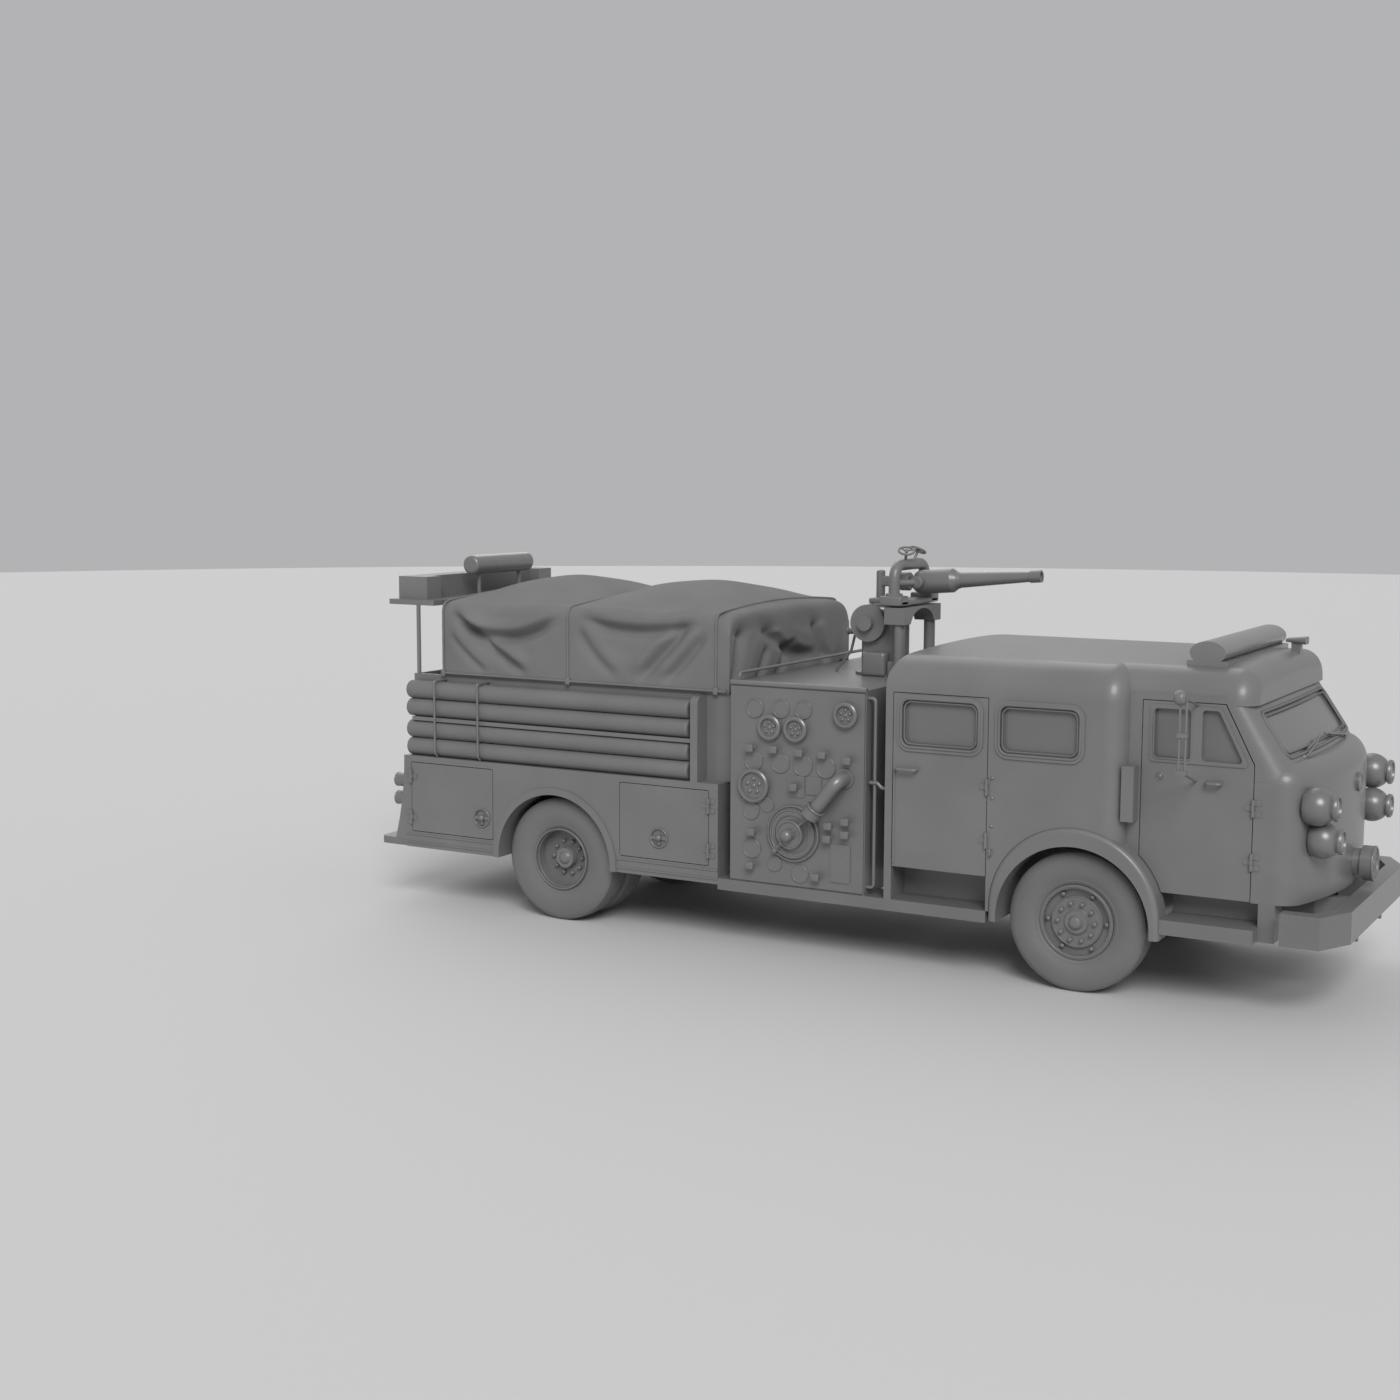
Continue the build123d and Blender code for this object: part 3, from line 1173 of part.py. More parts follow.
def cab_floor(inner):
    """Floor with its seat boxes and the opening over the engine."""
    top = FLOOR_Z + FLOOR_THICKNESS
    level = (FLOOR_Z, top)
    floor = inner & block((TAIL_X, NOSE_X), (-BODY_HALF, BODY_HALF), level)
    well_face = arch_face(FRONT_AXLE_X, ARCH_RADIUS + WELL_LINER, 0)
    for side in (1, -1):
        span = sorted((side * (WELL_INNER_HALF - WELL_LINER), side * BODY_HALF))
        floor -= across(well_face, span)
        flare_y = sorted((side * (BODY_HALF + FENDER_PROUD - FENDER_FLARE_DEPTH), side * BODY_HALF))
        floor -= across(fender_face(), flare_y)
        crew_edge = sorted((side * (BODY_HALF - CAB_WALL - SHUT_GAP), side * BODY_HALF))
        floor -= block((CREW_DOOR_REAR_X - SHUT_GAP, CREW_DOOR_FRONT_X + SHUT_GAP), crew_edge, level)
        front_edge = sorted((side * (CAB_HALF - CAB_WALL - SHUT_GAP), side * BODY_HALF))
        floor -= block((FRONT_AXLE_X + ARCH_RADIUS, FRONT_DOOR_FRONT_X + SHUT_GAP), front_edge, level)
        seat_y = sorted((side * SEAT_INNER_HALF, side * SEAT_OUTER_HALF))
        floor += block(SEAT_X, seat_y, (top, SEAT_Z))
    floor -= block(ENGINE_COVER_X, (-ENGINE_COVER_HALF + CAB_WALL, ENGINE_COVER_HALF - CAB_WALL), level)
    return floor + block((CANOPY_REAR_X + CAB_WALL, BENCH_FRONT_X), (-BENCH_HALF, BENCH_HALF), (top, BENCH_Z))


def engine_cover():
    """Hollow cover over the engine between the seats."""
    base = FLOOR_Z + FLOOR_THICKNESS
    outer = block(ENGINE_COVER_X, (-ENGINE_COVER_HALF, ENGINE_COVER_HALF), (base, ENGINE_COVER_TOP_Z))
    top = outer.faces().sort_by(Axis.Z)[-1]
    outer = fillet(top.edges(), ENGINE_COVER_ROUND)
    return outer - block((ENGINE_COVER_X[0] + WELL_LINER, ENGINE_COVER_X[1] - WELL_LINER),
                         (-ENGINE_COVER_HALF + WELL_LINER, ENGINE_COVER_HALF - WELL_LINER),
                         (base, ENGINE_COVER_TOP_Z - WELL_LINER))


def seat(x, y, z):
    """Cushion and back of one seat, standing on its box and against its rear edge."""
    low = z + RUNNING_CLEARANCE
    cushion = block((x[0] + SEAT_BACK_THICKNESS + SEAT_GAP, x[1]), y, (low, z + SEAT_CUSHION))
    back = block((x[0], x[0] + SEAT_BACK_THICKNESS), y, (low, z + SEAT_BACK_HEIGHT))
    return [fillet(piece.edges(), SEAT_ROUND) for piece in (cushion, back)]


def cab_seats():
    """Two front seats and the crew bench."""
    right = seat(SEAT_X, (-SEAT_OUTER_HALF, -SEAT_INNER_HALF), SEAT_Z)
    bench_x = (CANOPY_REAR_X + CAB_WALL + SEAT_GAP, BENCH_FRONT_X)
    bench = seat(bench_x, (-BENCH_HALF, BENCH_HALF), BENCH_Z)
    return group(*right, *[mirrored(piece) for piece in right], *bench)


def dashboard(inner):
    """Dash panel across the nose with the steering column and wheel."""
    profile = Polyline((DASH_REAR_X + DASH_LOW_SETBACK, DASH_LOW_Z), (SKIN_FRONT_X, DASH_LOW_Z),
                       (SKIN_FRONT_X, DASH_HIGH_Z), (DASH_REAR_X + DASH_TOP_SETBACK, DASH_HIGH_Z),
                       (DASH_REAR_X, DASH_HIGH_Z - DASH_BROW), close=True)
    dash = across(fillet(make_face(profile).vertices(), DASH_ROUND), (-CAB_HALF, CAB_HALF)) & inner
    centre = (STEERING_X, STEERING_Y, STEERING_Z)
    tilt = Plane(origin=centre, z_dir=(-1, 0, 1))
    wheel = tilt * Torus(STEERING_RADIUS, STEERING_RIM)
    wheel += tilt * Cylinder(STEERING_BOSS_RADIUS, STEERING_BOSS_HEIGHT)
    spoke = Pos(STEERING_RADIUS / 2, 0, 0) * Box(STEERING_RADIUS, STEERING_SPOKE_WIDTH, STEERING_SPOKE_DEPTH)
    for turn in STEERING_SPOKE_TURNS:
        wheel += tilt * (Rot(0, 0, turn) * spoke)
    foot = (STEERING_X + STEERING_COLUMN_DROP, STEERING_Y, STEERING_Z - STEERING_COLUMN_DROP)
    return dash + wheel + rod(centre, foot, STEERING_COLUMN_RADIUS)


def windscreen_glass(outer, inner):
    """Curved pane that follows the cab's lean and bow."""
    return (outer - inner) & windscreen_cut()


# Steps


def side_steps():
    """Running boards and front step boards with the kick plates behind them, on both sides."""
    tread = (-BODY_HALF, -STEP_INNER_HALF)
    board_x = (BODY_FRONT_X, CREW_DOOR_FRONT_X + RUNNING_BOARD_LAP)
    board = block(board_x, tread, (RUNNING_BOARD_Z, STEP_TOP_Z))
    kick_x = (CANOPY_REAR_X + CAB_WALL, CREW_DOOR_FRONT_X + KICK_LAP)
    board += block(kick_x, (-KICK_HALF, -KICK_HALF + KICK_THICKNESS), (STEP_TOP_Z, FLOOR_Z))
    step_x = (FRONT_AXLE_X + FENDER_RADIUS, FRONT_STEP_FRONT_X)
    step = block(step_x, tread, (FRONT_STEP_Z, FRONT_STEP_Z + FRONT_STEP_HEIGHT))
    step += block(step_x, (-STEP_INNER_HALF, -STEP_INNER_HALF + KICK_THICKNESS), (FRONT_STEP_Z, FLOOR_Z))
    skirt_x = (FRONT_STEP_FRONT_X, FRONT_STEP_FRONT_X + FRONT_SKIRT_LENGTH)
    step += block(skirt_x, (-CAB_HALF, -STEP_INNER_HALF + KICK_THICKNESS), (FRONT_STEP_Z, SKIN_BOTTOM_Z))
    return both_sides(board, step)


# Pump house


def panel_x(share):
    """Place along the pump panel, from 0 at its rear to 1 at its front."""
    return PUMP_REAR_X + share * PUMP_LENGTH


def pump_house():
    """Open-bottomed housing with a rimmed deck and grab rails at its front corners."""
    half = BODY_HALF - PUMP_PANEL_THICKNESS
    rear, front = PUMP_REAR_X, PUMP_FRONT_X
    house = block((rear, front), (-half, half), (STEP_TOP_Z, PUMP_DECK_Z))
    house -= block((rear + PUMP_WALL, front - PUMP_WALL), (-half + PUMP_WALL, half - PUMP_WALL),
                   (STEP_TOP_Z, PUMP_DECK_Z - PUMP_WALL))
    tunnel = RAIL_HALF + PUMP_TUNNEL_SIDE
    house -= block((rear - CUT_MARGIN, front + CUT_MARGIN), (-tunnel, tunnel),
                   (STEP_TOP_Z - CUT_MARGIN, RAIL_TOP + PUMP_TUNNEL_TOP))
    rim_half = BODY_HALF - DECK_RIM_RADIUS
    root = front - GRAB_RAIL_ROOT
    out = front + GRAB_RAIL_OUT
    high, low = PUMP_DECK_Z - GRAB_RAIL_END, STEP_TOP_Z + GRAB_RAIL_END
    for side in (1, -1):
        rim_y = side * rim_half
        house += rod((rear, rim_y, PUMP_DECK_Z), (front, rim_y, PUMP_DECK_Z), DECK_RIM_RADIUS)
        y = side * (half - GRAB_RAIL_INSET)
        grab = [(root, y, high), (out, y, high), (out, y, low), (root, y, low)]
        house += bent_rod(grab, GRAB_RAIL_BEND, HANDLE_RADIUS)
    rail_x = rear + DECK_RAIL_INSET
    rail_y = rim_half - GRAB_RAIL_END
    foot, top = PUMP_DECK_Z - GRAB_RAIL_ROOT, PUMP_DECK_Z + DECK_RAIL_RISE
    rail = [(rail_x, -rail_y, foot), (rail_x, -rail_y, top), (rail_x, rail_y, top), (rail_x, rail_y, foot)]
    return house + bent_rod(rail, GRAB_RAIL_BEND, HANDLE_RADIUS)


def pump_panel():
    """Right pump panel with gauges, plates and pull knobs, let in round the fittings."""
    face_y = -BODY_HALF
    z = (STEP_TOP_Z + PANEL_FOOT_RISE, PUMP_DECK_Z - DECK_RIM_RADIUS - PANEL_HEAD_GAP)
    panel_span = (PUMP_REAR_X + PANEL_EDGE, PUMP_FRONT_X - PANEL_EDGE)
    panel = block(panel_span, (face_y, face_y + PUMP_PANEL_THICKNESS), z)
    for share, height, radius, proud in PANEL_DISCS:
        panel += across(Pos(panel_x(share), height) * Circle(radius), (face_y - proud, face_y))
    for shares, plate_z, proud in PANEL_PLATES:
        plate_x = (panel_x(shares[0]), panel_x(shares[1]))
        panel += across(rounded_rectangle(plate_x, plate_z, PLATE_CORNER), (face_y - proud, face_y))
    tip = face_y - KNOB_REACH
    for share, height in PANEL_KNOBS:
        x = panel_x(share)
        panel += rod((x, face_y, height), (x, tip, height), KNOB_STEM_RADIUS)
        panel += rod((x, tip + KNOB_DEPTH, height), (x, tip, height), KNOB_RADIUS)
    return panel - pump_intake() - pump_outlet()


def pump_intake():
    """Right steamer cap: a stepped round cap with two lugs."""
    centre = Pos(panel_x(INTAKE_SHARE), INTAKE_Z)
    cap = None
    for share, proud in INTAKE_STEPS:
        disc = across(centre * Circle(share * INTAKE_RADIUS), (-BODY_HALF - proud, -BODY_HALF))
        cap = disc if cap is None else cap + disc
    lug = Pos(INTAKE_RADIUS - INTAKE_LUG_INSET, 0) * Rectangle(INTAKE_LUG_LENGTH, INTAKE_LUG_WIDTH)
    for turn in INTAKE_LUG_TURNS:
        cap += across(centre * (Rot(0, 0, turn) * lug), (-BODY_HALF - INTAKE_LUG_PROUD, -BODY_HALF))
    return cap


def pump_outlet():
    """Right discharge elbow: out of the panel, then down at a slant to its cap."""
    x = panel_x(ELBOW_SHARE)
    y = -BODY_HALF - ELBOW_REACH
    bend = (x, y, ELBOW_OUTLET_Z)
    foot = (x - ELBOW_SLANT * ELBOW_DROP, y, ELBOW_OUTLET_Z - ELBOW_DROP)
    pipe = bent_rod([(x, -BODY_HALF, ELBOW_OUTLET_Z), bend, foot], ELBOW_BEND, ELBOW_RADIUS)
    ring = Pos(x, ELBOW_OUTLET_Z) * Circle(ELBOW_RADIUS + ELBOW_FLANGE)
    flange = across(ring, (-BODY_HALF - ELBOW_FLANGE_DEPTH, -BODY_HALF))
    run = Vector(*foot) - Vector(*bend)
    tip = Vector(*foot) + run.normalized() * ELBOW_CAP_LENGTH
    return pipe + flange + rod(foot, tuple(tip), ELBOW_RADIUS + ELBOW_CAP)


def pump_fittings():
    """Caps and discharge elbows on both panels."""
    return both_sides(pump_intake(), pump_outlet())


# Rear body


def locker_face(x, grow=0):
    """Locker door outline."""
    z = (LOCKER_LOW_Z - grow, LOCKER_HIGH_Z + grow)
    return rounded_rectangle((x[0] - grow, x[1] + grow), z, LOCKER_CORNER + grow)


def tail_post():
    """Outline of a corner post that flares out to the tailboard."""
    foot_x = BODY_REAR_X - TAIL_FLARE
    lip_x = BODY_REAR_X - TAIL_POST_LIP
    foot_z = TAILBOARD_Z + TAILBOARD_THICKNESS
    return make_face([
        Line((BODY_REAR_X, foot_z), (BODY_REAR_X, LEDGE_Z)),
        Line((BODY_REAR_X, LEDGE_Z), (lip_x, LEDGE_Z)),
        TangentArc((lip_x, LEDGE_Z), (foot_x, foot_z), tangent=(0, -1)),
        Line((foot_x, foot_z), (BODY_REAR_X, foot_z)),
    ])


def lower_body():
    """Lockers on both sides of the rear wheels, arch lips, mouldings, corner posts and a rear panel."""
    outer, inner = -BODY_HALF, -BODY_INNER_HALF
    body = block((BODY_REAR_X, BODY_FRONT_X), (outer, inner), (BODY_BOTTOM_Z, LEDGE_Z))
    hollow_y = (outer + BODY_WALL, inner - BODY_WALL)
    hollow_z = (BODY_BOTTOM_Z + BODY_WALL, LEDGE_Z - BODY_WALL)
    arch_wall = REAR_ARCH_RADIUS + BODY_WALL
    body -= block((BODY_REAR_X + BODY_WALL, REAR_AXLE_X - arch_wall), hollow_y, hollow_z)
    body -= block((REAR_AXLE_X + arch_wall, BODY_FRONT_X - BODY_WALL), hollow_y, hollow_z)
    for x in (REAR_LOCKER_X, FRONT_LOCKER_X):
        body -= across(locker_face(x, SHUT_GAP), (outer - CUT_MARGIN, outer + BODY_WALL))
    for z in MOULDING_Z:
        body += block((BODY_REAR_X, BODY_FRONT_X), (outer - MOULDING_PROUD, outer), (z, z + MOULDING_HEIGHT))
    lip_face = arch_face(REAR_AXLE_X, REAR_ARCH_RADIUS + REAR_ARCH_LIP, BODY_BOTTOM_Z)
    body += across(lip_face, (outer - REAR_ARCH_PROUD, outer))
    arch = arch_face(REAR_AXLE_X, REAR_ARCH_RADIUS, BODY_BOTTOM_Z - CUT_MARGIN)
    body -= across(arch, (outer - REAR_ARCH_PROUD - CUT_MARGIN, inner + CUT_MARGIN))
    body += across(tail_post(), (outer, outer + TAIL_POST_DEPTH))
    rear_axis = REAR_LOCKER_X[0] - SHUT_GAP / 2
    front_axis = FRONT_LOCKER_X[1] + SHUT_GAP / 2
    body += hinges(rear_axis, BODY_HALF, LOCKER_HINGE_Z, False, -HINGE_LEAF)
    body += hinges(front_axis, BODY_HALF, LOCKER_HINGE_Z, False, HINGE_LEAF)
    rear_panel = block((BODY_REAR_X, BODY_REAR_X + BODY_WALL), (inner, -inner), (BODY_BOTTOM_Z, LEDGE_Z))
    return body + mirrored(body) + rear_panel


def locker_door(x, hinge_x, reach, latch_x):
    """Right locker door with hinges and a round recessed latch."""
    door = across(locker_face(x), (-BODY_HALF, -BODY_HALF + BODY_WALL))
    door += hinges(hinge_x, BODY_HALF, LOCKER_HINGE_Z, True, reach)
    centre = Pos(latch_x, LATCH_Z)
    proud = -BODY_HALF - LATCH_PROUD
    sunk = -BODY_HALF + LATCH_PROUD
    bowl = Circle(LATCH_RADIUS - LATCH_RING)
    door += across(centre * (Circle(LATCH_RADIUS) - bowl), (proud, -BODY_HALF))
    door -= across(centre * bowl, (proud, sunk))
    return door + across(centre * Rectangle(LATCH_BAR_SHARE * LATCH_RADIUS, LATCH_BAR), (proud, sunk))


def hose_bed():
    """Open hose bed."""
    x = (BED_REAR_X, BED_FRONT_X)
    bed = block(x, (-BED_HALF, BED_HALF), (LEDGE_Z, BED_TOP_Z))
    return bed - block((x[0] + BED_WALL, x[1] - BED_WALL), (-BED_HALF + BED_WALL, BED_HALF - BED_WALL),
                       (LEDGE_Z + BED_WALL, BED_TOP_Z))


def hose_racks():
    """End plate and middle rail of the rack on each side of the bed."""
    outer, inner = -BODY_HALF + RACK_SIDE_INSET, -BED_HALF
    top = BED_TOP_Z - RACK_TOP_DROP
    plate = rounded_rectangle((outer, inner), (LEDGE_Z, top), RACK_PLATE_CORNER)
    foot = rectangle((outer, inner), (LEDGE_Z, LEDGE_Z + RACK_FOOT_HEIGHT))
    back = rectangle((inner - RACK_PLATE_CORNER, inner), (LEDGE_Z, top))
    rack = along(plate + foot + back, (RACK_PLATE_X, RACK_PLATE_X + RACK_PLATE_LENGTH))
    rail_z = hose_heights()[1] + SUCTION_HOSE_RADIUS + RUNNING_CLEARANCE
    rack += block((HOSE_REAR_X + RACK_PLATE_CORNER, RACK_PLATE_X), (outer + RACK_RAIL_INSET, inner),
                  (rail_z, rail_z + HOSE_RAIL_HEIGHT))
    return both_sides(rack)


def hose_heights():
    """Heights of the four stacked hoses: two on the ledge, two on the rail above."""
    step = 2 * SUCTION_HOSE_RADIUS + RUNNING_CLEARANCE
    first = LEDGE_Z + SUCTION_HOSE_RADIUS + RUNNING_CLEARANCE
    third = first + 2 * step + HOSE_RAIL_HEIGHT + RUNNING_CLEARANCE
    return [first, first + step, third, third + step]


def suction_hoses():
    """Four hard suction hoses on each side."""
    y = -BED_HALF - SUCTION_HOSE_RADIUS - RUNNING_CLEARANCE
    hoses = []
    for z in hose_heights():
        hose = rod((HOSE_REAR_X, y, z), (HOSE_FRONT_X, y, z), SUCTION_HOSE_RADIUS)
        rims = hose.edges().filter_by(GeomType.CIRCLE)
        hoses.append(fillet(rims, SUCTION_HOSE_END_ROUND))
    return both_sides(*hoses)


def tie_bars():
    """Bent bars that hold the hoses on their racks."""
    out = -BODY_HALF - TIE_ROD_RADIUS - TIE_ROD_SIDE_GAP
    top_z = hose_heights()[3] + SUCTION_HOSE_RADIUS + TIE_ROD_TOP_GAP
    bars = []
    for x in TIE_BAR_X:
        points = [(x, out + TIE_FOOT_INSET, LEDGE_Z + TIE_ROD_RADIUS), (x, out, LEDGE_Z + TIE_FOOT_RISE),
                  (x, out, top_z), (x, -BED_HALF, top_z)]
        bars.append(bent_rod(points, TIE_ROD_BEND, TIE_ROD_RADIUS))
    return both_sides(*bars)


def cover_solid(inset):
    """Canvas cover: domed between its bows, rounded along its eaves."""
    half = COVER_HALF - inset
    rear, front = COVER_REAR_X + inset, COVER_FRONT_X - inset
    base = BED_TOP_Z + RUNNING_CLEARANCE
    valley = COVER_VALLEY_Z - inset
    stops = [rear + share * (front - rear) for share in COVER_BOW_SHARES]
    domes = [Line((rear, base), (front, base))]
    for start, stop, rise in zip(stops, stops[1:], COVER_RISES):
        domes.append(ThreePointArc((start, valley), ((start + stop) / 2, valley + rise), (stop, valley)))
    domes += [Line((rear, base), (rear, valley)), Line((front, base), (front, valley))]
    eave = COVER_EAVE_Z - inset
    crown = make_face([
        Line((-half, base), (half, base)),
        Line((half, base), (half, eave)),
        ThreePointArc((half, eave), (0, COVER_CROWN_Z - inset), (-half, eave)),
        Line((-half, eave), (-half, base)),
    ])
    eaves = [vertex for vertex in crown.vertices() if vertex.Y > base + CUT_MARGIN]
    crown = fillet(eaves, COVER_EDGE_RADIUS)
    return across(make_face(domes), (-half, half)) & along(crown, (rear, front))


def tarp_cover():
    """The cover as a hollow closed sheet, open below."""
    inner = cover_solid(COVER_THICKNESS)
    drop = Pos(0, 0, -COVER_THICKNESS) * inner
    return cover_solid(0) - inner - drop


def tailboard():
    """Rear standing board."""
    z = (TAILBOARD_Z, TAILBOARD_Z + TAILBOARD_THICKNESS)
    board = block((TAIL_X, BODY_REAR_X), (-BODY_HALF, BODY_HALF), z)
    corners = board.edges().filter_by(Axis.Z).group_by(Axis.X)[0]
    return fillet(corners, TAILBOARD_CORNER)


# Lamps


def lamp_arch():
    """Rear shelf and lamp beam on two posts, with the light bar's stands."""
    shelf_top = ARCH_SHELF_Z + ARCH_SHELF_THICKNESS
    shelf = block((TAIL_X, ARCH_SHELF_FRONT_X), (-ARCH_SHELF_HALF, ARCH_SHELF_HALF),
                  (ARCH_SHELF_Z, shelf_top))
    beam_z = (shelf_top, ARCH_BEAM_TOP_Z)
    shelf += block((ARCH_BEAM_REAR_X, ARCH_BEAM_FRONT_X), (-ARCH_BEAM_HALF, ARCH_BEAM_HALF), beam_z)
    posts = []
    for side in (1, -1):
        box_y = sorted((side * ARCH_BEAM_HALF, side * (ARCH_BEAM_HALF - ARCH_END_BOX)))
        shelf += block((ARCH_BEAM_REAR_X, ARCH_BEAM_FRONT_X + ARCH_END_REACH), box_y, beam_z)
        post_y = side * (BED_HALF - BED_WALL / 2)
        post_foot, post_top = (ARCH_POST_X, post_y, BED_TOP_Z), (ARCH_POST_X, post_y, ARCH_SHELF_Z)
        posts.append(rod(post_foot, post_top, ARCH_POST_RADIUS))
        stand_y = side * REAR_BAR_HALF * REAR_BAR_POST_SHARE
        stand_z = REAR_BAR_Z - REAR_BAR_RADIUS - RUNNING_CLEARANCE
        stand_foot, stand_top = (REAR_BAR_X, stand_y, shelf_top), (REAR_BAR_X, stand_y, stand_z)
        posts.append(rod(stand_foot, stand_top, REAR_BAR_POST_RADIUS))
    return group(shelf, *posts)


def rear_light_bar():
    """Capsule light bar with rounded ends."""
    right_end, left_end = (REAR_BAR_X, -REAR_BAR_HALF, REAR_BAR_Z), (REAR_BAR_X, REAR_BAR_HALF, REAR_BAR_Z)
    bar = rod(right_end, left_end, REAR_BAR_RADIUS)
    return fillet(bar.edges().filter_by(GeomType.CIRCLE), REAR_BAR_RADIUS / 3)


def front_light_bar(outer):
    """Flat-bottomed oval light bar on a plate that follows the roof."""
    base = FRONT_BAR_PLATE_TOP_Z
    flat = FRONT_BAR_HEIGHT * FRONT_BAR_FLAT_SHARE
    lens_face = Pos(FRONT_BAR_X, base + flat) * Ellipse(FRONT_BAR_WIDTH / 2, FRONT_BAR_HEIGHT - flat)
    lens_face &= Pos(FRONT_BAR_X, base + FRONT_BAR_HEIGHT) * Rectangle(FRONT_BAR_WIDTH, 2 * FRONT_BAR_HEIGHT)
    bar = across(lens_face, (-FRONT_BAR_HALF, FRONT_BAR_HALF))
    plate_x = (FRONT_BAR_X - FRONT_BAR_PLATE / 2, FRONT_BAR_X + FRONT_BAR_PLATE / 2)
    plate = block(plate_x, (-FRONT_BAR_HALF, FRONT_BAR_HALF), (ROOF_CROWN_Z - FRONT_BAR_PLATE_SINK, base))
    return bar + (plate - outer)


def head_lamp(bowl):
    """Bowl lamp looking along +X from its own centre."""
    deep, near = LAMP_BOWL_SHARE * bowl, LAMP_NECK_SHARE * bowl
    face = bowl - LAMP_LENS_GAP
    profile = make_face([
        ThreePointArc((-near, deep), (0, bowl), (deep, near)),
        Polyline((deep, near), (face, near), (face, 0), (-near, 0), (-near, deep)),
    ])
    return revolve(profile, axis=Axis.X)


def vehicle_lamps(outer, body):
    """Four bowl headlamps on the nose and four round tail lamps on the corner posts."""
    lamps = []
    for setback, inset, z, bowl in HEADLAMPS:
        lamps.append(Pos(SKIN_FRONT_X - setback, -CAB_HALF + inset, z) * head_lamp(bowl) - outer)
    y = -BODY_HALF + TAIL_LAMP_INSET
    back = BODY_REAR_X - TAIL_FLARE - TAIL_LAMP_PROUD
    for z, radius in TAIL_LAMPS:
        lamps.append(rod((BODY_REAR_X, y, z), (back, y, z), radius) - body)
    return both_sides(*lamps)


def air_horns(outer):
    """Two short trumpets on one foot at the front of the roof."""
    foot = block((HORN_X, HORN_X + HORN_FOOT_LENGTH), HORN_Y, (ROOF_CROWN_Z - HORN_FOOT_SINK, HORN_Z))
    horns = foot - outer
    for y in HORN_Y:
        trumpet = Rot(0, 90, 0) * Cone(HORN_REAR_RADIUS, HORN_BELL_RADIUS, HORN_LENGTH)
        horns += Pos(HORN_X + HORN_FOOT_LENGTH / 2, y, HORN_Z) * trumpet
    return horns


def siren(outer):
    """Siren drum low on the nose, a plain round boss above it and the roof's air horns."""
    back = SKIN_FRONT_X - NOSE_ROOT
    neck_end, drum_start = SIREN_STEPS[1] * SIREN_LENGTH, SIREN_STEPS[0] * SIREN_LENGTH
    drum = rod((back, 0, SIREN_Z), (SKIN_FRONT_X + neck_end, 0, SIREN_Z), SIREN_RADIUS * SIREN_NECK_SHARE)
    drum_back, drum_face = SKIN_FRONT_X + drum_start, SKIN_FRONT_X + SIREN_LENGTH
    drum += rod((drum_back, 0, SIREN_Z), (drum_face, 0, SIREN_Z), SIREN_RADIUS)
    boss = rod((back, 0, EMBLEM_Z), (SKIN_FRONT_X + EMBLEM_PROUD, 0, EMBLEM_Z), EMBLEM_RADIUS)
    return group(drum - outer, boss - outer, air_horns(outer))


# Bumper


def bumper_outline(inset):
    """Bumper plan with chamfered corners."""
    half = BODY_HALF - inset
    nose = NOSE_X - inset
    nose_half = BUMPER_NOSE_HALF - inset / 3
    corner = BUMPER_CORNER_X - inset / 2
    return make_face(Polyline((BUMPER_REAR_X, -half), (corner, -half), (nose, -nose_half),
                              (nose, nose_half), (corner, half), (BUMPER_REAR_X, half), close=True))


def bumper():
    """Channel bumper with its brackets and tow eyes."""
    shell = upright(bumper_outline(0), (BUMPER_BOTTOM_Z, BUMPER_TOP_Z))
    shell -= upright(bumper_outline(BUMPER_WALL), (BUMPER_BOTTOM_Z, BUMPER_TOP_Z - BUMPER_WALL))
    shell -= upright(bumper_outline(BUMPER_FLANGE), (BUMPER_BOTTOM_Z, BUMPER_TOP_Z))
    bracket_y = (-RAIL_HALF, -RAIL_HALF + RAIL_FLANGE)
    bracket_x = (rail_span()[1], NOSE_X - BUMPER_WALL)
    bracket = block(bracket_x, bracket_y, (RAIL_BOTTOM, BUMPER_TOP_Z - BUMPER_WALL))
    eye_x = NOSE_X - TOW_EYE_INSET
    eye_face = rectangle((eye_x - TOW_EYE_WIDTH / 2, eye_x + TOW_EYE_WIDTH / 2),
                         (TOW_EYE_BOTTOM_Z, RAIL_BOTTOM + TOW_EYE_ROOT))
    eye_face -= Pos(eye_x, TOW_EYE_Z) * Circle(TOW_EYE_RADIUS)
    bracket += across(eye_face, (-RAIL_HALF, -RAIL_HALF + TOW_EYE_THICKNESS))
    return shell + bracket + mirrored(bracket)


# Deck gun


def gun_pedestal():
    """Column on the pump deck with a round gear housing on its right face."""
    half = GUN_COLUMN / 2
    seat_low = GUN_COLUMN_TOP_Z - GUN_SEAT_HEIGHT
    column = block((GUN_X - half, GUN_X + half), (-half, half), (PUMP_DECK_Z, seat_low + GUN_SEAT_LAP))
    column = fillet(column.edges().filter_by(Axis.Z), GUN_COLUMN_ROUND)
    column += Pos(GUN_X, 0, seat_low + GUN_SEAT_HEIGHT / 2) * Cylinder(GUN_SWIVEL_RADIUS, GUN_SEAT_HEIGHT)
    for radius, proud in GUN_GEAR_STEPS:
        column += across(Pos(GUN_GEAR_X, GUN_GEAR_Z) * Circle(radius), (-half - proud, -half))
    foot = Pos(GUN_X, 0, PUMP_DECK_Z + GUN_FOOT_HEIGHT / 2)
    return column + foot * Cylinder(GUN_FOOT_RADIUS, GUN_FOOT_HEIGHT)


def handwheel():
    """Small spoked handwheel about its own centre."""
    wheel = Torus(GUN_WHEEL_RADIUS, GUN_WHEEL_RIM)
    spoke = Pos(GUN_WHEEL_RADIUS / 2, 0, 0) * Box(GUN_WHEEL_RADIUS, GUN_WHEEL_SPOKE_WIDTH, GUN_WHEEL_RIM)
    for turn in GUN_WHEEL_SPOKE_TURNS:
        wheel += Rot(0, 0, turn) * spoke
    return wheel


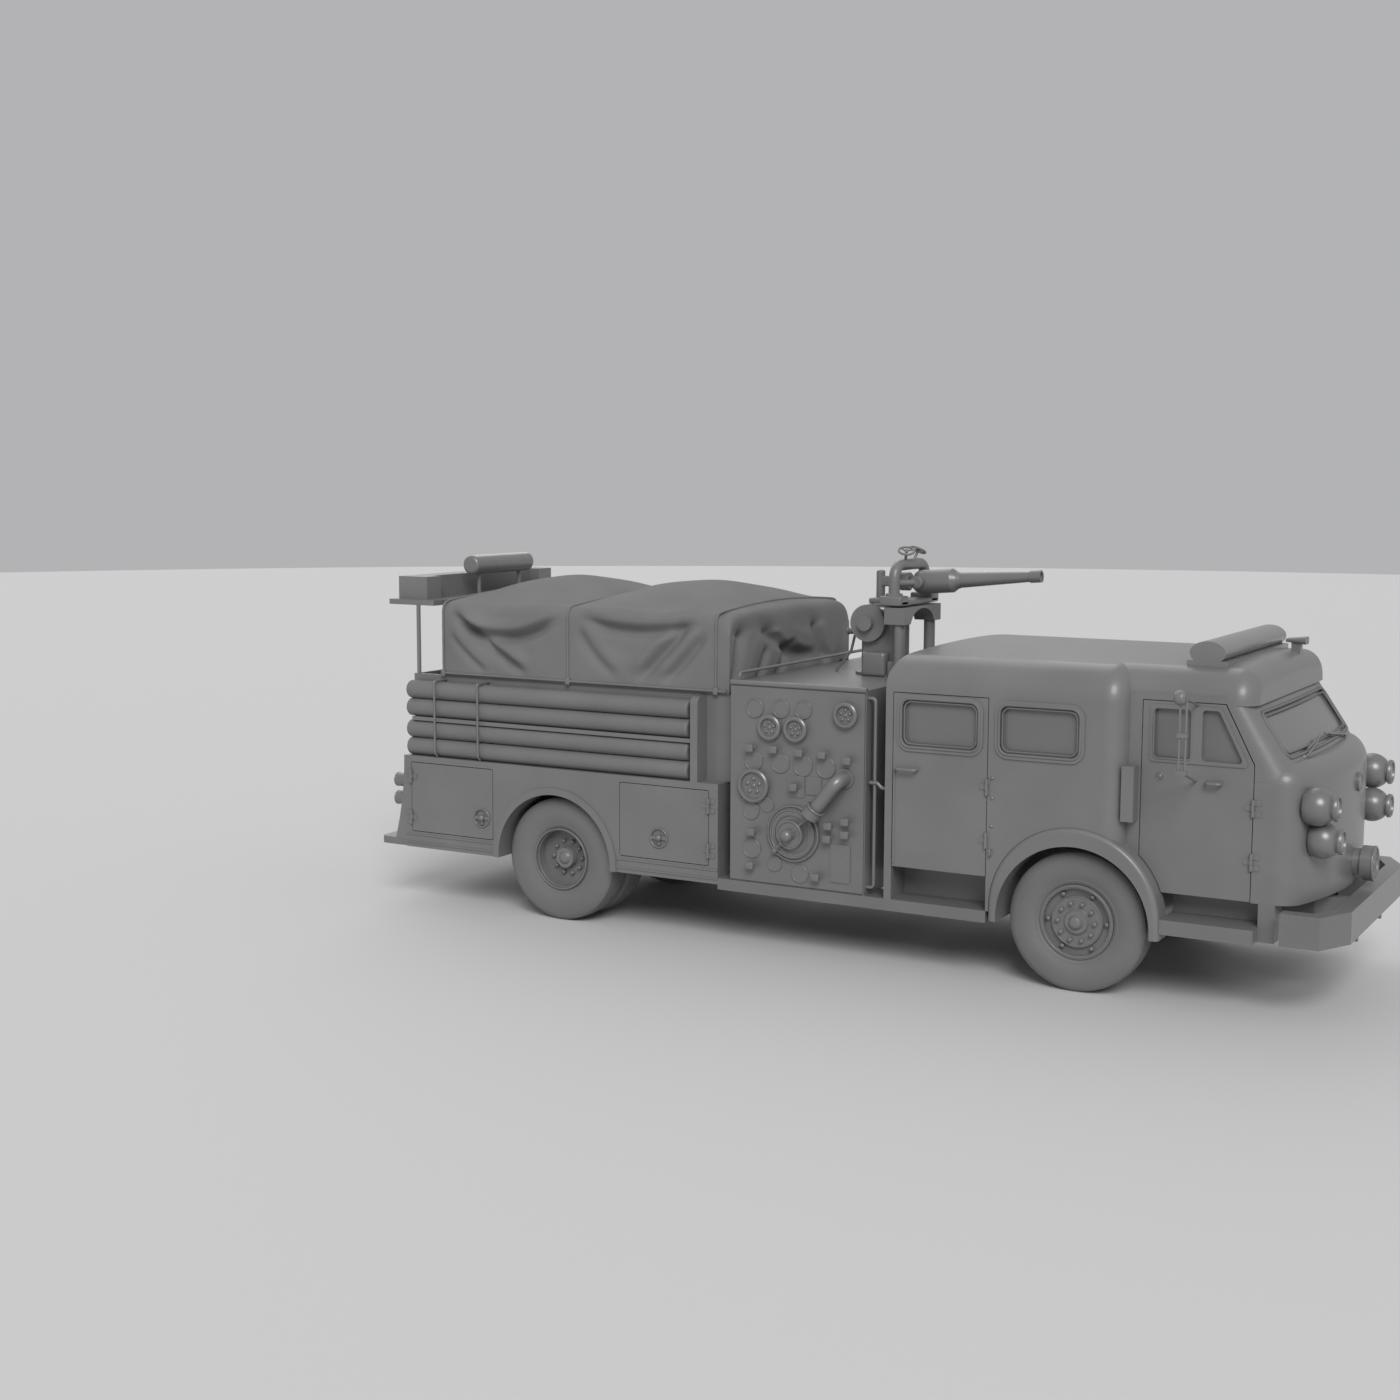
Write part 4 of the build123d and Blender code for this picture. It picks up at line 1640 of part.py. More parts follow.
def gun_turret():
    """Swivel base, yoke and the two looped water pipes that carry the barrel."""
    base = Pos(GUN_X, 0, (GUN_COLUMN_TOP_Z + GUN_YOKE_Z) / 2 + RUNNING_CLEARANCE)
    turret = base * Cylinder(GUN_SWIVEL_RADIUS - GUN_SWIVEL_STEP, GUN_YOKE_Z - GUN_COLUMN_TOP_Z)
    yoke_half = GUN_LOOP_HALF + GUN_LOOP_RADIUS
    yoke_x = (GUN_X - GUN_YOKE_REAR, GUN_LOOP_REAR_X + GUN_YOKE_FRONT)
    yoke = block(yoke_x, (-yoke_half, yoke_half), (GUN_YOKE_Z, GUN_YOKE_Z + GUN_YOKE_HEIGHT))
    turret += fillet(yoke.edges().filter_by(Axis.Z), GUN_YOKE_ROUND)
    stem_x = GUN_LOOP_REAR_X + GUN_WHEEL_AHEAD
    wheel_z = GUN_LOOP_TOP_Z + GUN_WHEEL_RISE
    bore = GUN_PIN_RADIUS + RUNNING_CLEARANCE
    for side in (1, -1):
        y = side * GUN_LOOP_HALF
        points = [(GUN_LOOP_REAR_X, y, GUN_YOKE_Z + GUN_LOOP_ROOT), (GUN_LOOP_REAR_X, y, GUN_LOOP_TOP_Z),
                  (GUN_TRUNNION_X, y, GUN_LOOP_TOP_Z), (GUN_TRUNNION_X, y, GUN_TRUNNION_Z)]
        turret += bent_rod(points, GUN_LOOP_BEND, GUN_LOOP_RADIUS)
        cheek_in = (GUN_TRUNNION_X, side * (GUN_BARREL_RADIUS + GUN_CHEEK_GAP), GUN_TRUNNION_Z)
        cheek_out = (GUN_TRUNNION_X, side * (yoke_half + GUN_CHEEK_PROUD), GUN_TRUNNION_Z)
        turret += rod(cheek_in, cheek_out, GUN_TRUNNION_RADIUS)
        turret -= rod(cheek_in, (GUN_TRUNNION_X, y, GUN_TRUNNION_Z), bore)
        turret += rod((stem_x, y, GUN_LOOP_TOP_Z - GUN_LOOP_ROOT), (stem_x, y, wheel_z), GUN_WHEEL_STEM)
        turret += Pos(stem_x, y, wheel_z) * handwheel()
    return turret


def gun_barrel():
    """Ball-ended barrel and tapered nozzle on its trunnion pins."""
    neck = GUN_BARREL_LENGTH
    end = neck + GUN_NOZZLE_LENGTH
    tip = end - GUN_TIP_LENGTH
    floor = end - GUN_MOUTH_DEPTH
    profile = make_face(Polyline(
        (0, 0), (0, GUN_BARREL_RADIUS), (neck - GUN_SHOULDER, GUN_BARREL_RADIUS), (neck, GUN_NECK_RADIUS),
        (neck + GUN_THROAT_LENGTH, GUN_THROAT_RADIUS), (tip, GUN_TAPER_RADIUS), (tip, GUN_TIP_RADIUS),
        (end, GUN_TIP_RADIUS), (end, GUN_MOUTH_RADIUS), (floor, GUN_MOUTH_RADIUS), (floor, 0), close=True))
    barrel = revolve(profile, axis=Axis.X)
    barrel += Sphere(GUN_BARREL_RADIUS)
    pin = GUN_LOOP_HALF - RUNNING_CLEARANCE
    barrel += rod((0, -pin, 0), (0, pin, 0), GUN_PIN_RADIUS)
    tilted = Rot(0, -GUN_REST_ELEVATION, 0) * barrel
    return Pos(GUN_TRUNNION_X, 0, GUN_TRUNNION_Z) * tilted


def engine_block():
    """The engine as one plain mass between the rails."""
    half = ENGINE_LENGTH / 2
    x = (ENGINE_MID_X - half, ENGINE_MID_X + half)
    return block(x, (-ENGINE_HALF, ENGINE_HALF), (ENGINE_BOTTOM, ENGINE_TOP))


def build_nodes():
    """Every sub-part by its node name."""
    outer = cab_form(0)
    inner = cab_form(CAB_WALL, open_below=True)
    nodes = cab_panels(cab_shell(outer, inner))
    nodes["windscreen"] = windscreen_glass(cab_form(GLASS_INSET), cab_form(GLASS_INSET + GLASS_THICKNESS))
    nodes["crew_side_glass"] = both_sides(pane(crew_window_face(FIXED_WINDOW_X), BODY_HALF))
    nodes["cab_floor"] = cab_floor(inner)
    nodes["engine_cover"] = engine_cover()
    nodes["engine_block"] = engine_block()
    nodes["cab_seats"] = cab_seats()
    nodes["dashboard"] = dashboard(cab_form(CAB_WALL + SEAT_GAP))
    nodes["front_fenders"] = both_sides(front_fender())
    nodes["side_steps"] = side_steps()
    nodes["frame_rails"] = frame_rails()
    nodes["cross_members"] = cross_members()
    nodes["front_axle_beam"] = front_axle_beam()
    nodes["rear_axle"] = rear_axle()
    nodes["leaf_springs"] = leaf_springs()
    nodes["front_bumper"] = bumper()
    nodes["lower_body"] = lower_body()
    nodes["vehicle_lamps"] = vehicle_lamps(outer, nodes["lower_body"])
    nodes["siren"] = siren(outer)
    nodes["front_light_bar"] = front_light_bar(outer)
    nodes["pump_house"] = pump_house()
    nodes["pump_panels"] = both_sides(pump_panel())
    nodes["pump_fittings"] = pump_fittings()
    nodes["hose_bed"] = hose_bed()
    nodes["hose_racks"] = hose_racks()
    nodes["suction_hoses"] = suction_hoses()
    nodes["tie_bars"] = tie_bars()
    nodes["tarp_cover"] = tarp_cover()
    nodes["tailboard"] = tailboard()
    nodes["lamp_arch"] = lamp_arch()
    nodes["rear_light_bar"] = rear_light_bar()
    nodes["gun_pedestal"] = gun_pedestal()
    nodes["gun_turret"] = gun_turret()
    nodes["gun_barrel"] = gun_barrel()
    rear_axis = REAR_LOCKER_X[0] - SHUT_GAP / 2
    front_axis = FRONT_LOCKER_X[1] + SHUT_GAP / 2
    right_pieces = {
        # node stem: right-hand solid
        "front_door": front_door(),
        "front_door_glass": group(*[pane(face, CAB_HALF) for face in door_pane_faces()]),
        "crew_door": crew_door(),
        "crew_door_glass": pane(crew_window_face(CREW_WINDOW_X), BODY_HALF),
        "rear_locker_door": locker_door(REAR_LOCKER_X, rear_axis, HINGE_LEAF, REAR_LATCH_X),
        "front_locker_door": locker_door(FRONT_LOCKER_X, front_axis, -HINGE_LEAF, FRONT_LATCH_X),
    }
    for stem, solid in right_pieces.items():
        nodes[f"{stem}_right"] = solid
        nodes[f"{stem}_left"] = mirrored(solid)
    inner_y = REAR_WHEEL_Y - DUAL_SPACING
    twin_tyres = [tyre(REAR_RIM_RADIUS, REAR_AXLE_X, y) for y in (REAR_WHEEL_Y, inner_y)]
    left_pieces = {
        # node stem: left-hand solid
        "knuckle": knuckle(),
        "front_tyre": tyre(FRONT_RIM_RADIUS, FRONT_AXLE_X, FRONT_WHEEL_Y),
        "front_wheel": front_wheel(FRONT_AXLE_X, FRONT_WHEEL_Y),
        "rear_tyres": group(*twin_tyres),
        "rear_wheel": rear_wheel(REAR_AXLE_X, REAR_WHEEL_Y),
    }
    for stem, solid in left_pieces.items():
        nodes[f"{stem}_left"] = solid
        nodes[f"{stem}_right"] = mirrored(solid)
    return nodes


def main():
    """Write one STEP file per node."""
    os.makedirs("parts", exist_ok=True)
    for name, shape in build_nodes().items():
        export_step(shape, f"parts/{name}.step")


main()
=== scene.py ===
"""Dresses the fire engine: soft cover, tyres, trim, lamps and finishes over the CAD frame."""
from __future__ import annotations

import json
import logging
import math
from dataclasses import dataclass
from enum import Enum
from typing import Sequence

import bmesh
import bpy
from mathutils import Matrix, Vector

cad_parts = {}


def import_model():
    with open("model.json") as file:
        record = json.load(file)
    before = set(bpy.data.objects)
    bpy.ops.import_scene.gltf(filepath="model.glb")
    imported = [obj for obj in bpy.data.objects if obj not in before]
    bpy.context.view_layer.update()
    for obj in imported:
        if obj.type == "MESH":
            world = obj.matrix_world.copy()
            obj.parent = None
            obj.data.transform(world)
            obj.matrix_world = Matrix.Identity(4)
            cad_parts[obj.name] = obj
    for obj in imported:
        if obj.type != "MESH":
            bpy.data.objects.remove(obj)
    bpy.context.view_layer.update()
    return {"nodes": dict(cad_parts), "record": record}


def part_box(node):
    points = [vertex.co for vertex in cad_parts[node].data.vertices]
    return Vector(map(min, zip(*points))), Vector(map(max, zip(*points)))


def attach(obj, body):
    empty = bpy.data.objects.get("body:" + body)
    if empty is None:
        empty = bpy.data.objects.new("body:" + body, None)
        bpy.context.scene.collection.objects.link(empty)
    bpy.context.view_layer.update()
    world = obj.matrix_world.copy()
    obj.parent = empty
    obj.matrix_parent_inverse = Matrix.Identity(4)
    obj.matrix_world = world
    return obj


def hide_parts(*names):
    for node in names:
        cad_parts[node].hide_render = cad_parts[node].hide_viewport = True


LOG = logging.getLogger("fire_engine")
Point = tuple[float, float, float]
BEND_STEPS = 8


class Side(Enum):
    """A side of the vehicle, by the sign of Y."""

    RIGHT = -1
    LEFT = 1

    @property
    def word(self) -> str:
        """The side's name as it ends a node's name."""
        return self.name.lower()


class Grain(Enum):
    """Kinds of fine surface structure."""

    SMOOTH = "smooth"
    RUBBER = "rubber"
    CANVAS = "canvas"
    VINYL = "vinyl"


@dataclass(frozen=True)
class Finish:
    """One surface finish.

    Args:
        name: Material name.
        slot: Material slot of the record that it belongs to.
        grey: Linear grey level.
        roughness: Middle roughness.
        metallic: Metallic share.
        mottle: Share by which the grey wanders over the surface.
        grain: Kind of fine structure.
        depth: Depth of the grain in metres.
        coat: Clear coat weight.
        alpha: Opacity.
    """

    name: str
    slot: str
    grey: float
    roughness: float
    metallic: float = 0.0
    mottle: float = 0.06
    grain: Grain = Grain.SMOOTH
    depth: float = 0.0004
    coat: float = 0.0
    alpha: float = 1.0

    def material(self) -> bpy.types.Material:
        """The Blender material, made on first use.

        Returns:
            A node material on Object coordinates.
        """
        known = bpy.data.materials.get(self.name)
        if known is not None:
            return known
        made = bpy.data.materials.new(self.name)
        made.use_nodes = True
        tree = made.node_tree
        shader = tree.nodes["Principled BSDF"]
        shader.inputs["Metallic"].default_value = self.metallic
        shader.inputs["Coat Weight"].default_value = self.coat
        shader.inputs["Coat Roughness"].default_value = 0.18
        shader.inputs["Alpha"].default_value = self.alpha
        place = tree.nodes.new("ShaderNodeTexCoord")
        self._colour(tree, shader, place)
        self._grain(tree, shader, place)
        return made

    def _colour(self, tree: bpy.types.NodeTree, shader: bpy.types.Node,
                place: bpy.types.Node) -> None:
        """Wandering grey and roughness, as handled paint and rubber show."""
        cloud = tree.nodes.new("ShaderNodeTexNoise")
        cloud.inputs["Scale"].default_value = 2.3
        cloud.inputs["Detail"].default_value = 5.0
        tree.links.new(place.outputs["Object"], cloud.inputs["Vector"])
        ramp = tree.nodes.new("ShaderNodeValToRGB")
        low, high = self.grey * (1 - self.mottle), self.grey * (1 + self.mottle)
        ramp.color_ramp.elements[0].position = 0.3
        ramp.color_ramp.elements[1].position = 0.7
        ramp.color_ramp.elements[0].color = (low, low, low, 1)
        ramp.color_ramp.elements[1].color = (high, high, high, 1)
        tree.links.new(cloud.outputs["Fac"], ramp.inputs["Fac"])
        tree.links.new(ramp.outputs["Color"], shader.inputs["Base Color"])
        worn = tree.nodes.new("ShaderNodeMapRange")
        worn.inputs["To Min"].default_value = self.roughness * 0.86
        worn.inputs["To Max"].default_value = min(1.0, self.roughness * 1.14)
        tree.links.new(cloud.outputs["Fac"], worn.inputs["Value"])
        tree.links.new(worn.outputs["Result"], shader.inputs["Roughness"])

    def _grain(self, tree: bpy.types.NodeTree, shader: bpy.types.Node,
               place: bpy.types.Node) -> None:
        """Fine relief by kind: orange peel, rubber pores, canvas weave or vinyl grain."""
        scale = {Grain.SMOOTH: 60.0, Grain.RUBBER: 220.0, Grain.CANVAS: 130.0,
                 Grain.VINYL: 260.0}[self.grain]
        if self.grain is Grain.VINYL:
            texture = tree.nodes.new("ShaderNodeTexVoronoi")
            output = texture.outputs["Distance"]
        else:
            texture = tree.nodes.new("ShaderNodeTexNoise")
            texture.inputs["Detail"].default_value = 3.0
            output = texture.outputs["Fac"]
        texture.inputs["Scale"].default_value = scale
        tree.links.new(place.outputs["Object"], texture.inputs["Vector"])
        bump = tree.nodes.new("ShaderNodeBump")
        bump.inputs["Strength"].default_value = 0.35
        bump.inputs["Distance"].default_value = self.depth
        tree.links.new(output, bump.inputs["Height"])
        tree.links.new(bump.outputs["Normal"], shader.inputs["Normal"])


PAINT = Finish("grey_paint", "paint", 0.165, 0.42, coat=0.25)
CHASSIS = Finish("chassis_paint", "chassis", 0.11, 0.6, depth=0.0008)
METAL = Finish("satin_metal", "bright", 0.19, 0.34, metallic=0.25, coat=0.1)
PLATE = Finish("plate_metal", "tread", 0.175, 0.42, metallic=0.15)
WHEEL = Finish("wheel_paint", "wheel", 0.165, 0.4, coat=0.15)
TRIM = Finish("cab_trim", "interior", 0.13, 0.7, grain=Grain.VINYL, depth=0.0006)
PANE = Finish("satin_pane", "pane", 0.15, 0.25, mottle=0.03, depth=0.0001, coat=0.4,
              alpha=0.94)
LENS = Finish("lens_plastic", "lens", 0.18, 0.28, coat=0.3)
VINYL = Finish("seat_vinyl", "seat", 0.12, 0.55, grain=Grain.VINYL, depth=0.0008)
HOSE = Finish("hose_rubber", "hose", 0.16, 0.6, grain=Grain.RUBBER, depth=0.0008)
CANVAS = Finish("cover_canvas", "canvas", 0.165, 0.85, mottle=0.09, grain=Grain.CANVAS,
                depth=0.0012)
RUBBER = Finish("tyre_rubber", "tyre", 0.155, 0.62, grain=Grain.RUBBER, depth=0.0006)
FINISHES = (PAINT, CHASSIS, METAL, PLATE, WHEEL, TRIM, PANE, LENS, VINYL, HOSE, CANVAS, RUBBER)


class Shape:
    """A bmesh under construction, in the vehicle's frame and in metres."""

    def __init__(self) -> None:
        """Start empty."""
        self.bm = bmesh.new()

    def lathe(self, profile: Sequence[tuple[float, float]], centre: Point, axis: Point,
              steps: int = 48) -> None:
        """Spin a profile about an axis.

        Args:
            profile: Pairs of radius and distance along the axis.
            centre: A point on the axis.
            axis: Direction of the axis.
            steps: Steps round the axis.
        """
        along = Vector(axis).normalized()
        out = along.orthogonal().normalized()
        start = Vector(centre)
        verts = [self.bm.verts.new(start + out * radius + along * reach) for radius, reach in profile]
        edges = [self.bm.edges.new(pair) for pair in zip(verts, verts[1:])]
        bmesh.ops.spin(self.bm, geom=verts + edges, cent=start, axis=along, angle=2 * math.pi,
                       steps=steps, use_merge=True)

    def ring(self, centre: Point, axis: Point, radius: float, thick: float, steps: int = 40) -> None:
        """Round ring.

        Args:
            centre: Its middle.
            axis: Its axis.
            radius: Radius to the middle of its section.
            thick: Radius of its section.
            steps: Steps round the axis.
        """
        turns = [2 * math.pi * step / 10 for step in range(11)]
        self.lathe([(radius + thick * math.cos(turn), thick * math.sin(turn)) for turn in turns],
                   centre, axis, steps)

    def dome(self, centre: Point, axis: Point, radius: float, height: float, steps: int = 14) -> None:
        """Domed head with its flat side at the centre.

        Args:
            centre: Middle of the flat side.
            axis: Way that the dome points.
            radius: Radius of the flat side.
            height: Height of the dome.
            steps: Steps round the axis.
        """
        turns = [math.pi / 2 * step / 5 for step in range(6)]
        arc = [(radius * math.cos(turn), height * math.sin(turn)) for turn in turns]
        self.lathe([(0.0, 0.0)] + arc, centre, axis, steps)

    def box(self, low: Point, high: Point, round_by: float = 0.0, segments: int = 2) -> None:
        """Block with rounded edges.

        Args:
            low: Lowest corner.
            high: Highest corner.
            round_by: Edge radius, 0 for sharp edges.
            segments: Steps of the rounding.
        """
        size = Vector(high) - Vector(low)
        middle = (Vector(high) + Vector(low)) / 2
        place = Matrix.Translation(middle) @ Matrix.Diagonal((*size, 1))
        made = bmesh.ops.create_cube(self.bm, size=1, matrix=place)
        if round_by:
            edges = {edge for vert in made["verts"] for edge in vert.link_edges}
            bmesh.ops.bevel(self.bm, geom=list(edges), offset=round_by, segments=segments, profile=0.5,
                            affect="EDGES", material=-1)

    def tube(self, points: Sequence[Point], radius: float, sides: int = 12,
             closed: bool = False) -> None:
        """Round bar through a line of points.

        Args:
            points: Points of the middle line.
            radius: Bar radius.
            sides: Sides of its section.
            closed: Whether the line closes on itself.
        """
        line = [Vector(point) for point in points]
        count = len(line)
        rings = []
        side = None
        for index, point in enumerate(line):
            before = line[index - 1] if index or closed else point
            after = line[(index + 1) % count] if index + 1 < count or closed else point
            run = (after - before).normalized()
            side = run.orthogonal() if side is None else side - run * side.dot(run)
            side.normalize()
            turn = Matrix((side, run.cross(side), run)).transposed().to_4x4()
            capped = not closed and index in (0, count - 1)
            made = bmesh.ops.create_circle(self.bm, cap_ends=capped, segments=sides, radius=radius,
                                           matrix=Matrix.Translation(point) @ turn)
            rings.append({edge for vert in made["verts"] for edge in vert.link_edges})
        pairs = list(zip(rings, rings[1:])) + ([(rings[-1], rings[0])] if closed else [])
        for near, far in pairs:
            bmesh.ops.bridge_loops(self.bm, edges=list(near | far))

    def bent(self, corners: Sequence[Point], bend: float, radius: float, sides: int = 16) -> None:
        """Round bar with rounded corners.

        Args:
            corners: Its ends and the corners between them.
            bend: Bend radius of the middle line.
            radius: Bar radius.
            sides: Sides of its section.
        """
        line = [Vector(corner) for corner in corners]
        points = [line[0]]
        for before, here, after in zip(line, line[1:], line[2:]):
            back, ahead = (before - here).normalized(), (after - here).normalized()
            set_back = bend / math.tan(back.angle(ahead) / 2)
            start, stop = here + back * set_back, here + ahead * set_back
            for step in range(BEND_STEPS + 1):
                share = step / BEND_STEPS
                points.append(start.lerp(here, share).lerp(here.lerp(stop, share), share))
        points.append(line[-1])
        self.tube([tuple(point) for point in points], radius, sides)

    def mirror_y(self) -> None:
        """Add the same shape on the other side of the vehicle."""
        geom = list(self.bm.verts) + list(self.bm.edges) + list(self.bm.faces)
        copy = bmesh.ops.duplicate(self.bm, geom=geom)
        verts = [item for item in copy["geom"] if isinstance(item, bmesh.types.BMVert)]
        bmesh.ops.scale(self.bm, vec=(1, -1, 1), verts=verts)

    def piece(self, name: str, finish: Finish, body: str, sharp: float = 35.0) -> bpy.types.Object:
        """Close the shape into an object that rides on a body.

        Args:
            name: Object name.
            finish: Its finish.
            body: The CAD body that it moves with.
            sharp: Angle in degrees past which an edge shows sharp.

        Returns:
            The new object.
        """
        bmesh.ops.remove_doubles(self.bm, verts=self.bm.verts, dist=2e-5)
        bmesh.ops.recalc_face_normals(self.bm, faces=self.bm.faces)
        mesh = bpy.data.meshes.new(name)
        self.bm.to_mesh(mesh)
        self.bm.free()
        mesh.materials.append(finish.material())
        mesh.polygons.foreach_set("use_smooth", [True] * len(mesh.polygons))
        mesh.set_sharp_from_angle(angle=math.radians(sharp))
        made = bpy.data.objects.new(name, mesh)
        bpy.context.scene.collection.objects.link(made)
        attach(made, body)
        LOG.info("%s: %d faces on %s", name, len(mesh.polygons), body)
        return made


def smooth_step(value: float) -> float:
    """Ease from 0 to 1."""
    value = max(0.0, min(1.0, value))
    return value * value * (3 - 2 * value)


def rounded_loop(x: tuple[float, float], z: tuple[float, float], radius: float, y: float,
                 steps: int = 6) -> list[Point]:
    """Closed loop round a rectangle with round corners, in a plane of constant Y.

    Args:
        x: Low and high X.
        z: Low and high Z.
        radius: Corner radius.
        y: Plane of the loop.
        steps: Steps per corner.

    Returns:
        The loop's points in order.
    """
    corners = [(x[1] - radius, z[1] - radius, 0), (x[0] + radius, z[1] - radius, 90),
               (x[0] + radius, z[0] + radius, 180), (x[1] - radius, z[0] + radius, 270)]
    points = []
    for centre_x, centre_z, start in corners:
        for step in range(steps + 1):
            turn = math.radians(start + 90 * step / steps)
            points.append((centre_x + radius * math.cos(turn), y, centre_z + radius * math.sin(turn)))
    return points


@dataclass
class Tyres:
    """Tyres with bulged walls, a bead ring and a ribbed tread."""

    radius: float = 0.52
    width: float = 0.262
    groove: float = 0.007
    steps: int = 120

    def profile(self, rim: float) -> list[tuple[float, float]]:
        """Half section mirrored to a whole one.

        Args:
            rim: Rim radius.

        Returns:
            Pairs of radius and distance from the mid-plane, from bead to bead.
        """
        half = self.width / 2
        wall = self.radius - rim
        side = [(rim + 0.002, 0.098), (rim + 0.014, 0.106), (rim + 0.03, 0.113), (rim + 0.034, 0.1115)]
        shares = ((0.3, 0.965), (0.44, 0.995), (0.56, 1.0), (0.68, 0.985), (0.78, 0.95), (0.785, 0.962),
                  (0.85, 0.925), (0.92, 0.86), (0.967, 0.76))
        side += [(rim + rise * wall, half * out) for rise, out in shares]
        tread = []
        cut = ((0.0065, 0.0), (0.0045, self.groove), (-0.0045, self.groove), (-0.0065, 0.0))
        for middle in (0.072, 0.036, 0.0):
            crown = self.radius - 0.009 * (middle / 0.1) ** 2
            tread += [(crown - depth, middle + reach) for reach, depth in cut]
        half_section = side + [(self.radius - 0.0075, 0.09)] + tread
        other = [(r, -y) for r, y in reversed(half_section) if y > 0.0066 or r == self.radius]
        kept = [pair for pair in half_section if pair[1] >= -0.0066]
        return kept + [pair for pair in other if pair[1] < -0.0066]

    def build(self) -> None:
        """Make the front pair and both twin rear sets."""
        axles = (
            # name, rim radius, mid-planes, body, CAD node
            ("front", 0.276, (1.005,), "front_wheel", "front_tyre"),
            ("rear", 0.262, (1.01, 0.705), "rear_wheels", "rear_tyres"),
        )
        for side in Side:
            for axle, rim, mids, body, tyre in axles:
                node = f"{tyre}_{side.word}"
                low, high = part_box(node)
                x = (low[0] + high[0]) / 2
                shape = Shape()
                for mid in mids:
                    section = self.profile(rim)
                    shape.lathe(section + section[:1], (x, side.value * mid, self.radius), (0, 1, 0),
                                self.steps)
                made = shape.piece(f"tyre_{axle}_{side.word}", RUBBER, f"{body}_{side.word}", 28)
                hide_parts(node)


@dataclass
class Wheels:
    """Domed nuts, rim beads and hub rings on the CAD wheels."""

    front_x: float = 2.227
    rear_x: float = -2.273
    hub_z: float = 0.52
    nuts: int = 10
    nut_circle: float = 0.14
    nut_radius: float = 0.018
    nut_height: float = 0.014
    front_rings: tuple[Point, ...] = (
        # radius, distance from the vehicle's middle, thickness
        (0.262, 1.117, 0.006),
        (0.186, 1.099, 0.005),
        (0.093, 1.101, 0.006),
    )
    rear_rings: tuple[Point, ...] = (
        (0.254, 1.122, 0.007),
        (0.246, 1.085, 0.006),
        (0.096, 0.99, 0.007),
    )

    def crown(self, shape: Shape, x: float, y: float, way: int, count: int, circle: float) -> None:
        """Domed nuts on a circle.

        Args:
            shape: Shape to add to.
            x: Axle station.
            y: Plane of the nuts' ends.
            way: Side of the vehicle, by the sign of Y.
            count: How many nuts.
            circle: Radius of their circle.
        """
        for step in range(count):
            turn = 2 * math.pi * step / count
            place = (x + circle * math.cos(turn), y, self.hub_z + circle * math.sin(turn))
            shape.dome(place, (0, way, 0), self.nut_radius, self.nut_height, 12)

    def build(self) -> None:
        """Dress all four wheels."""
        for side in Side:
            way = side.value
            axis = (0, way, 0)
            front = Shape()
            self.crown(front, self.front_x, way * 1.121, way, self.nuts, self.nut_circle)
            self.crown(front, self.front_x, way * 1.089, way, 6, 0.222)
            for radius, y, thick in self.front_rings:
                front.ring((self.front_x, way * y, self.hub_z), axis, radius, thick, 72)
            front.dome((self.front_x, way * 1.147, self.hub_z), axis, 0.042, 0.012, 28)
            front.piece(f"front_wheel_trim_{side.word}", WHEEL, f"front_wheel_{side.word}", 40)
            rear = Shape()
            self.crown(rear, self.rear_x, way * 1.01, way, self.nuts, self.nut_circle)
            for radius, y, thick in self.rear_rings:
                rear.ring((self.rear_x, way * y, self.hub_z), axis, radius, thick, 72)
            rear.dome((self.rear_x, way * 1.072, self.hub_z), axis, 0.042, 0.01, 28)
            rear.piece(f"rear_wheel_trim_{side.word}", WHEEL, f"rear_wheels_{side.word}", 40)


@dataclass(frozen=True)
class Crease:
    """A fold in the cover, given on a flat view of one of its sides.

    Args:
        start: Where it begins, across and up.
        end: Where it ends.
        depth: How far it goes in.
        width: Half width of its groove.
        sag: How far its middle hangs below the straight line.
    """

    start: tuple[float, float]
    end: tuple[float, float]
    depth: float
    width: float
    sag: float = 0.0

    def at(self, across: float, up: float) -> float:
        """Depth inward at a point of the view.

        Args:
            across: Place along the side.
            up: Height.

        Returns:
            The depth in metres, negative on the roll above the groove.
        """
        run = Vector(self.end) - Vector(self.start)
        gone = Vector((across, up)) - Vector(self.start)
        share = gone.dot(run) / run.length_squared
        if not 0 < share < 1:
            return 0.0
        off = (run.x * gone.y - run.y * gone.x) / run.length + self.sag * 4 * share * (1 - share)
        groove = math.exp(-(off / self.width) ** 2)
        roll = math.exp(-((off - 2.0 * self.width) / (1.4 * self.width)) ** 2)
        return self.depth * smooth_step(4 * min(share, 1 - share)) * (groove - 0.6 * roll)


SIDE_CREASES = (
    Crease((-3.45, 2.56), (-2.27, 2.57), 0.075, 0.045, 0.21),
    Crease((-3.38, 2.53), (-2.60, 2.03), 0.060, 0.042, 0.02),
    Crease((-3.47, 2.40), (-3.02, 2.03), 0.022, 0.035, 0.03),
    Crease((-2.16, 2.58), (-0.86, 2.60), 0.055, 0.045, 0.13),
    Crease((-1.56, 2.04), (-1.05, 2.54), 0.050, 0.045, 0.0),
    Crease((-1.32, 2.04), (-0.88, 2.50), 0.040, 0.040, 0.02),
    Crease((-2.15, 2.50), (-1.72, 2.06), 0.024, 0.050, 0.04),
)
FRONT_CREASES = (
    Crease((-0.98, 2.04), (-0.84, 2.56), 0.085, 0.075, 0.0),
    Crease((-0.66, 2.64), (0.50, 2.18), 0.080, 0.060, 0.10),
    Crease((-0.30, 2.05), (0.10, 2.42), 0.050, 0.060, 0.02),
    Crease((0.42, 2.58), (0.74, 2.10), 0.075, 0.060, 0.05),
    Crease((-0.62, 2.03), (-0.42, 2.36), 0.045, 0.050, 0.0),
)
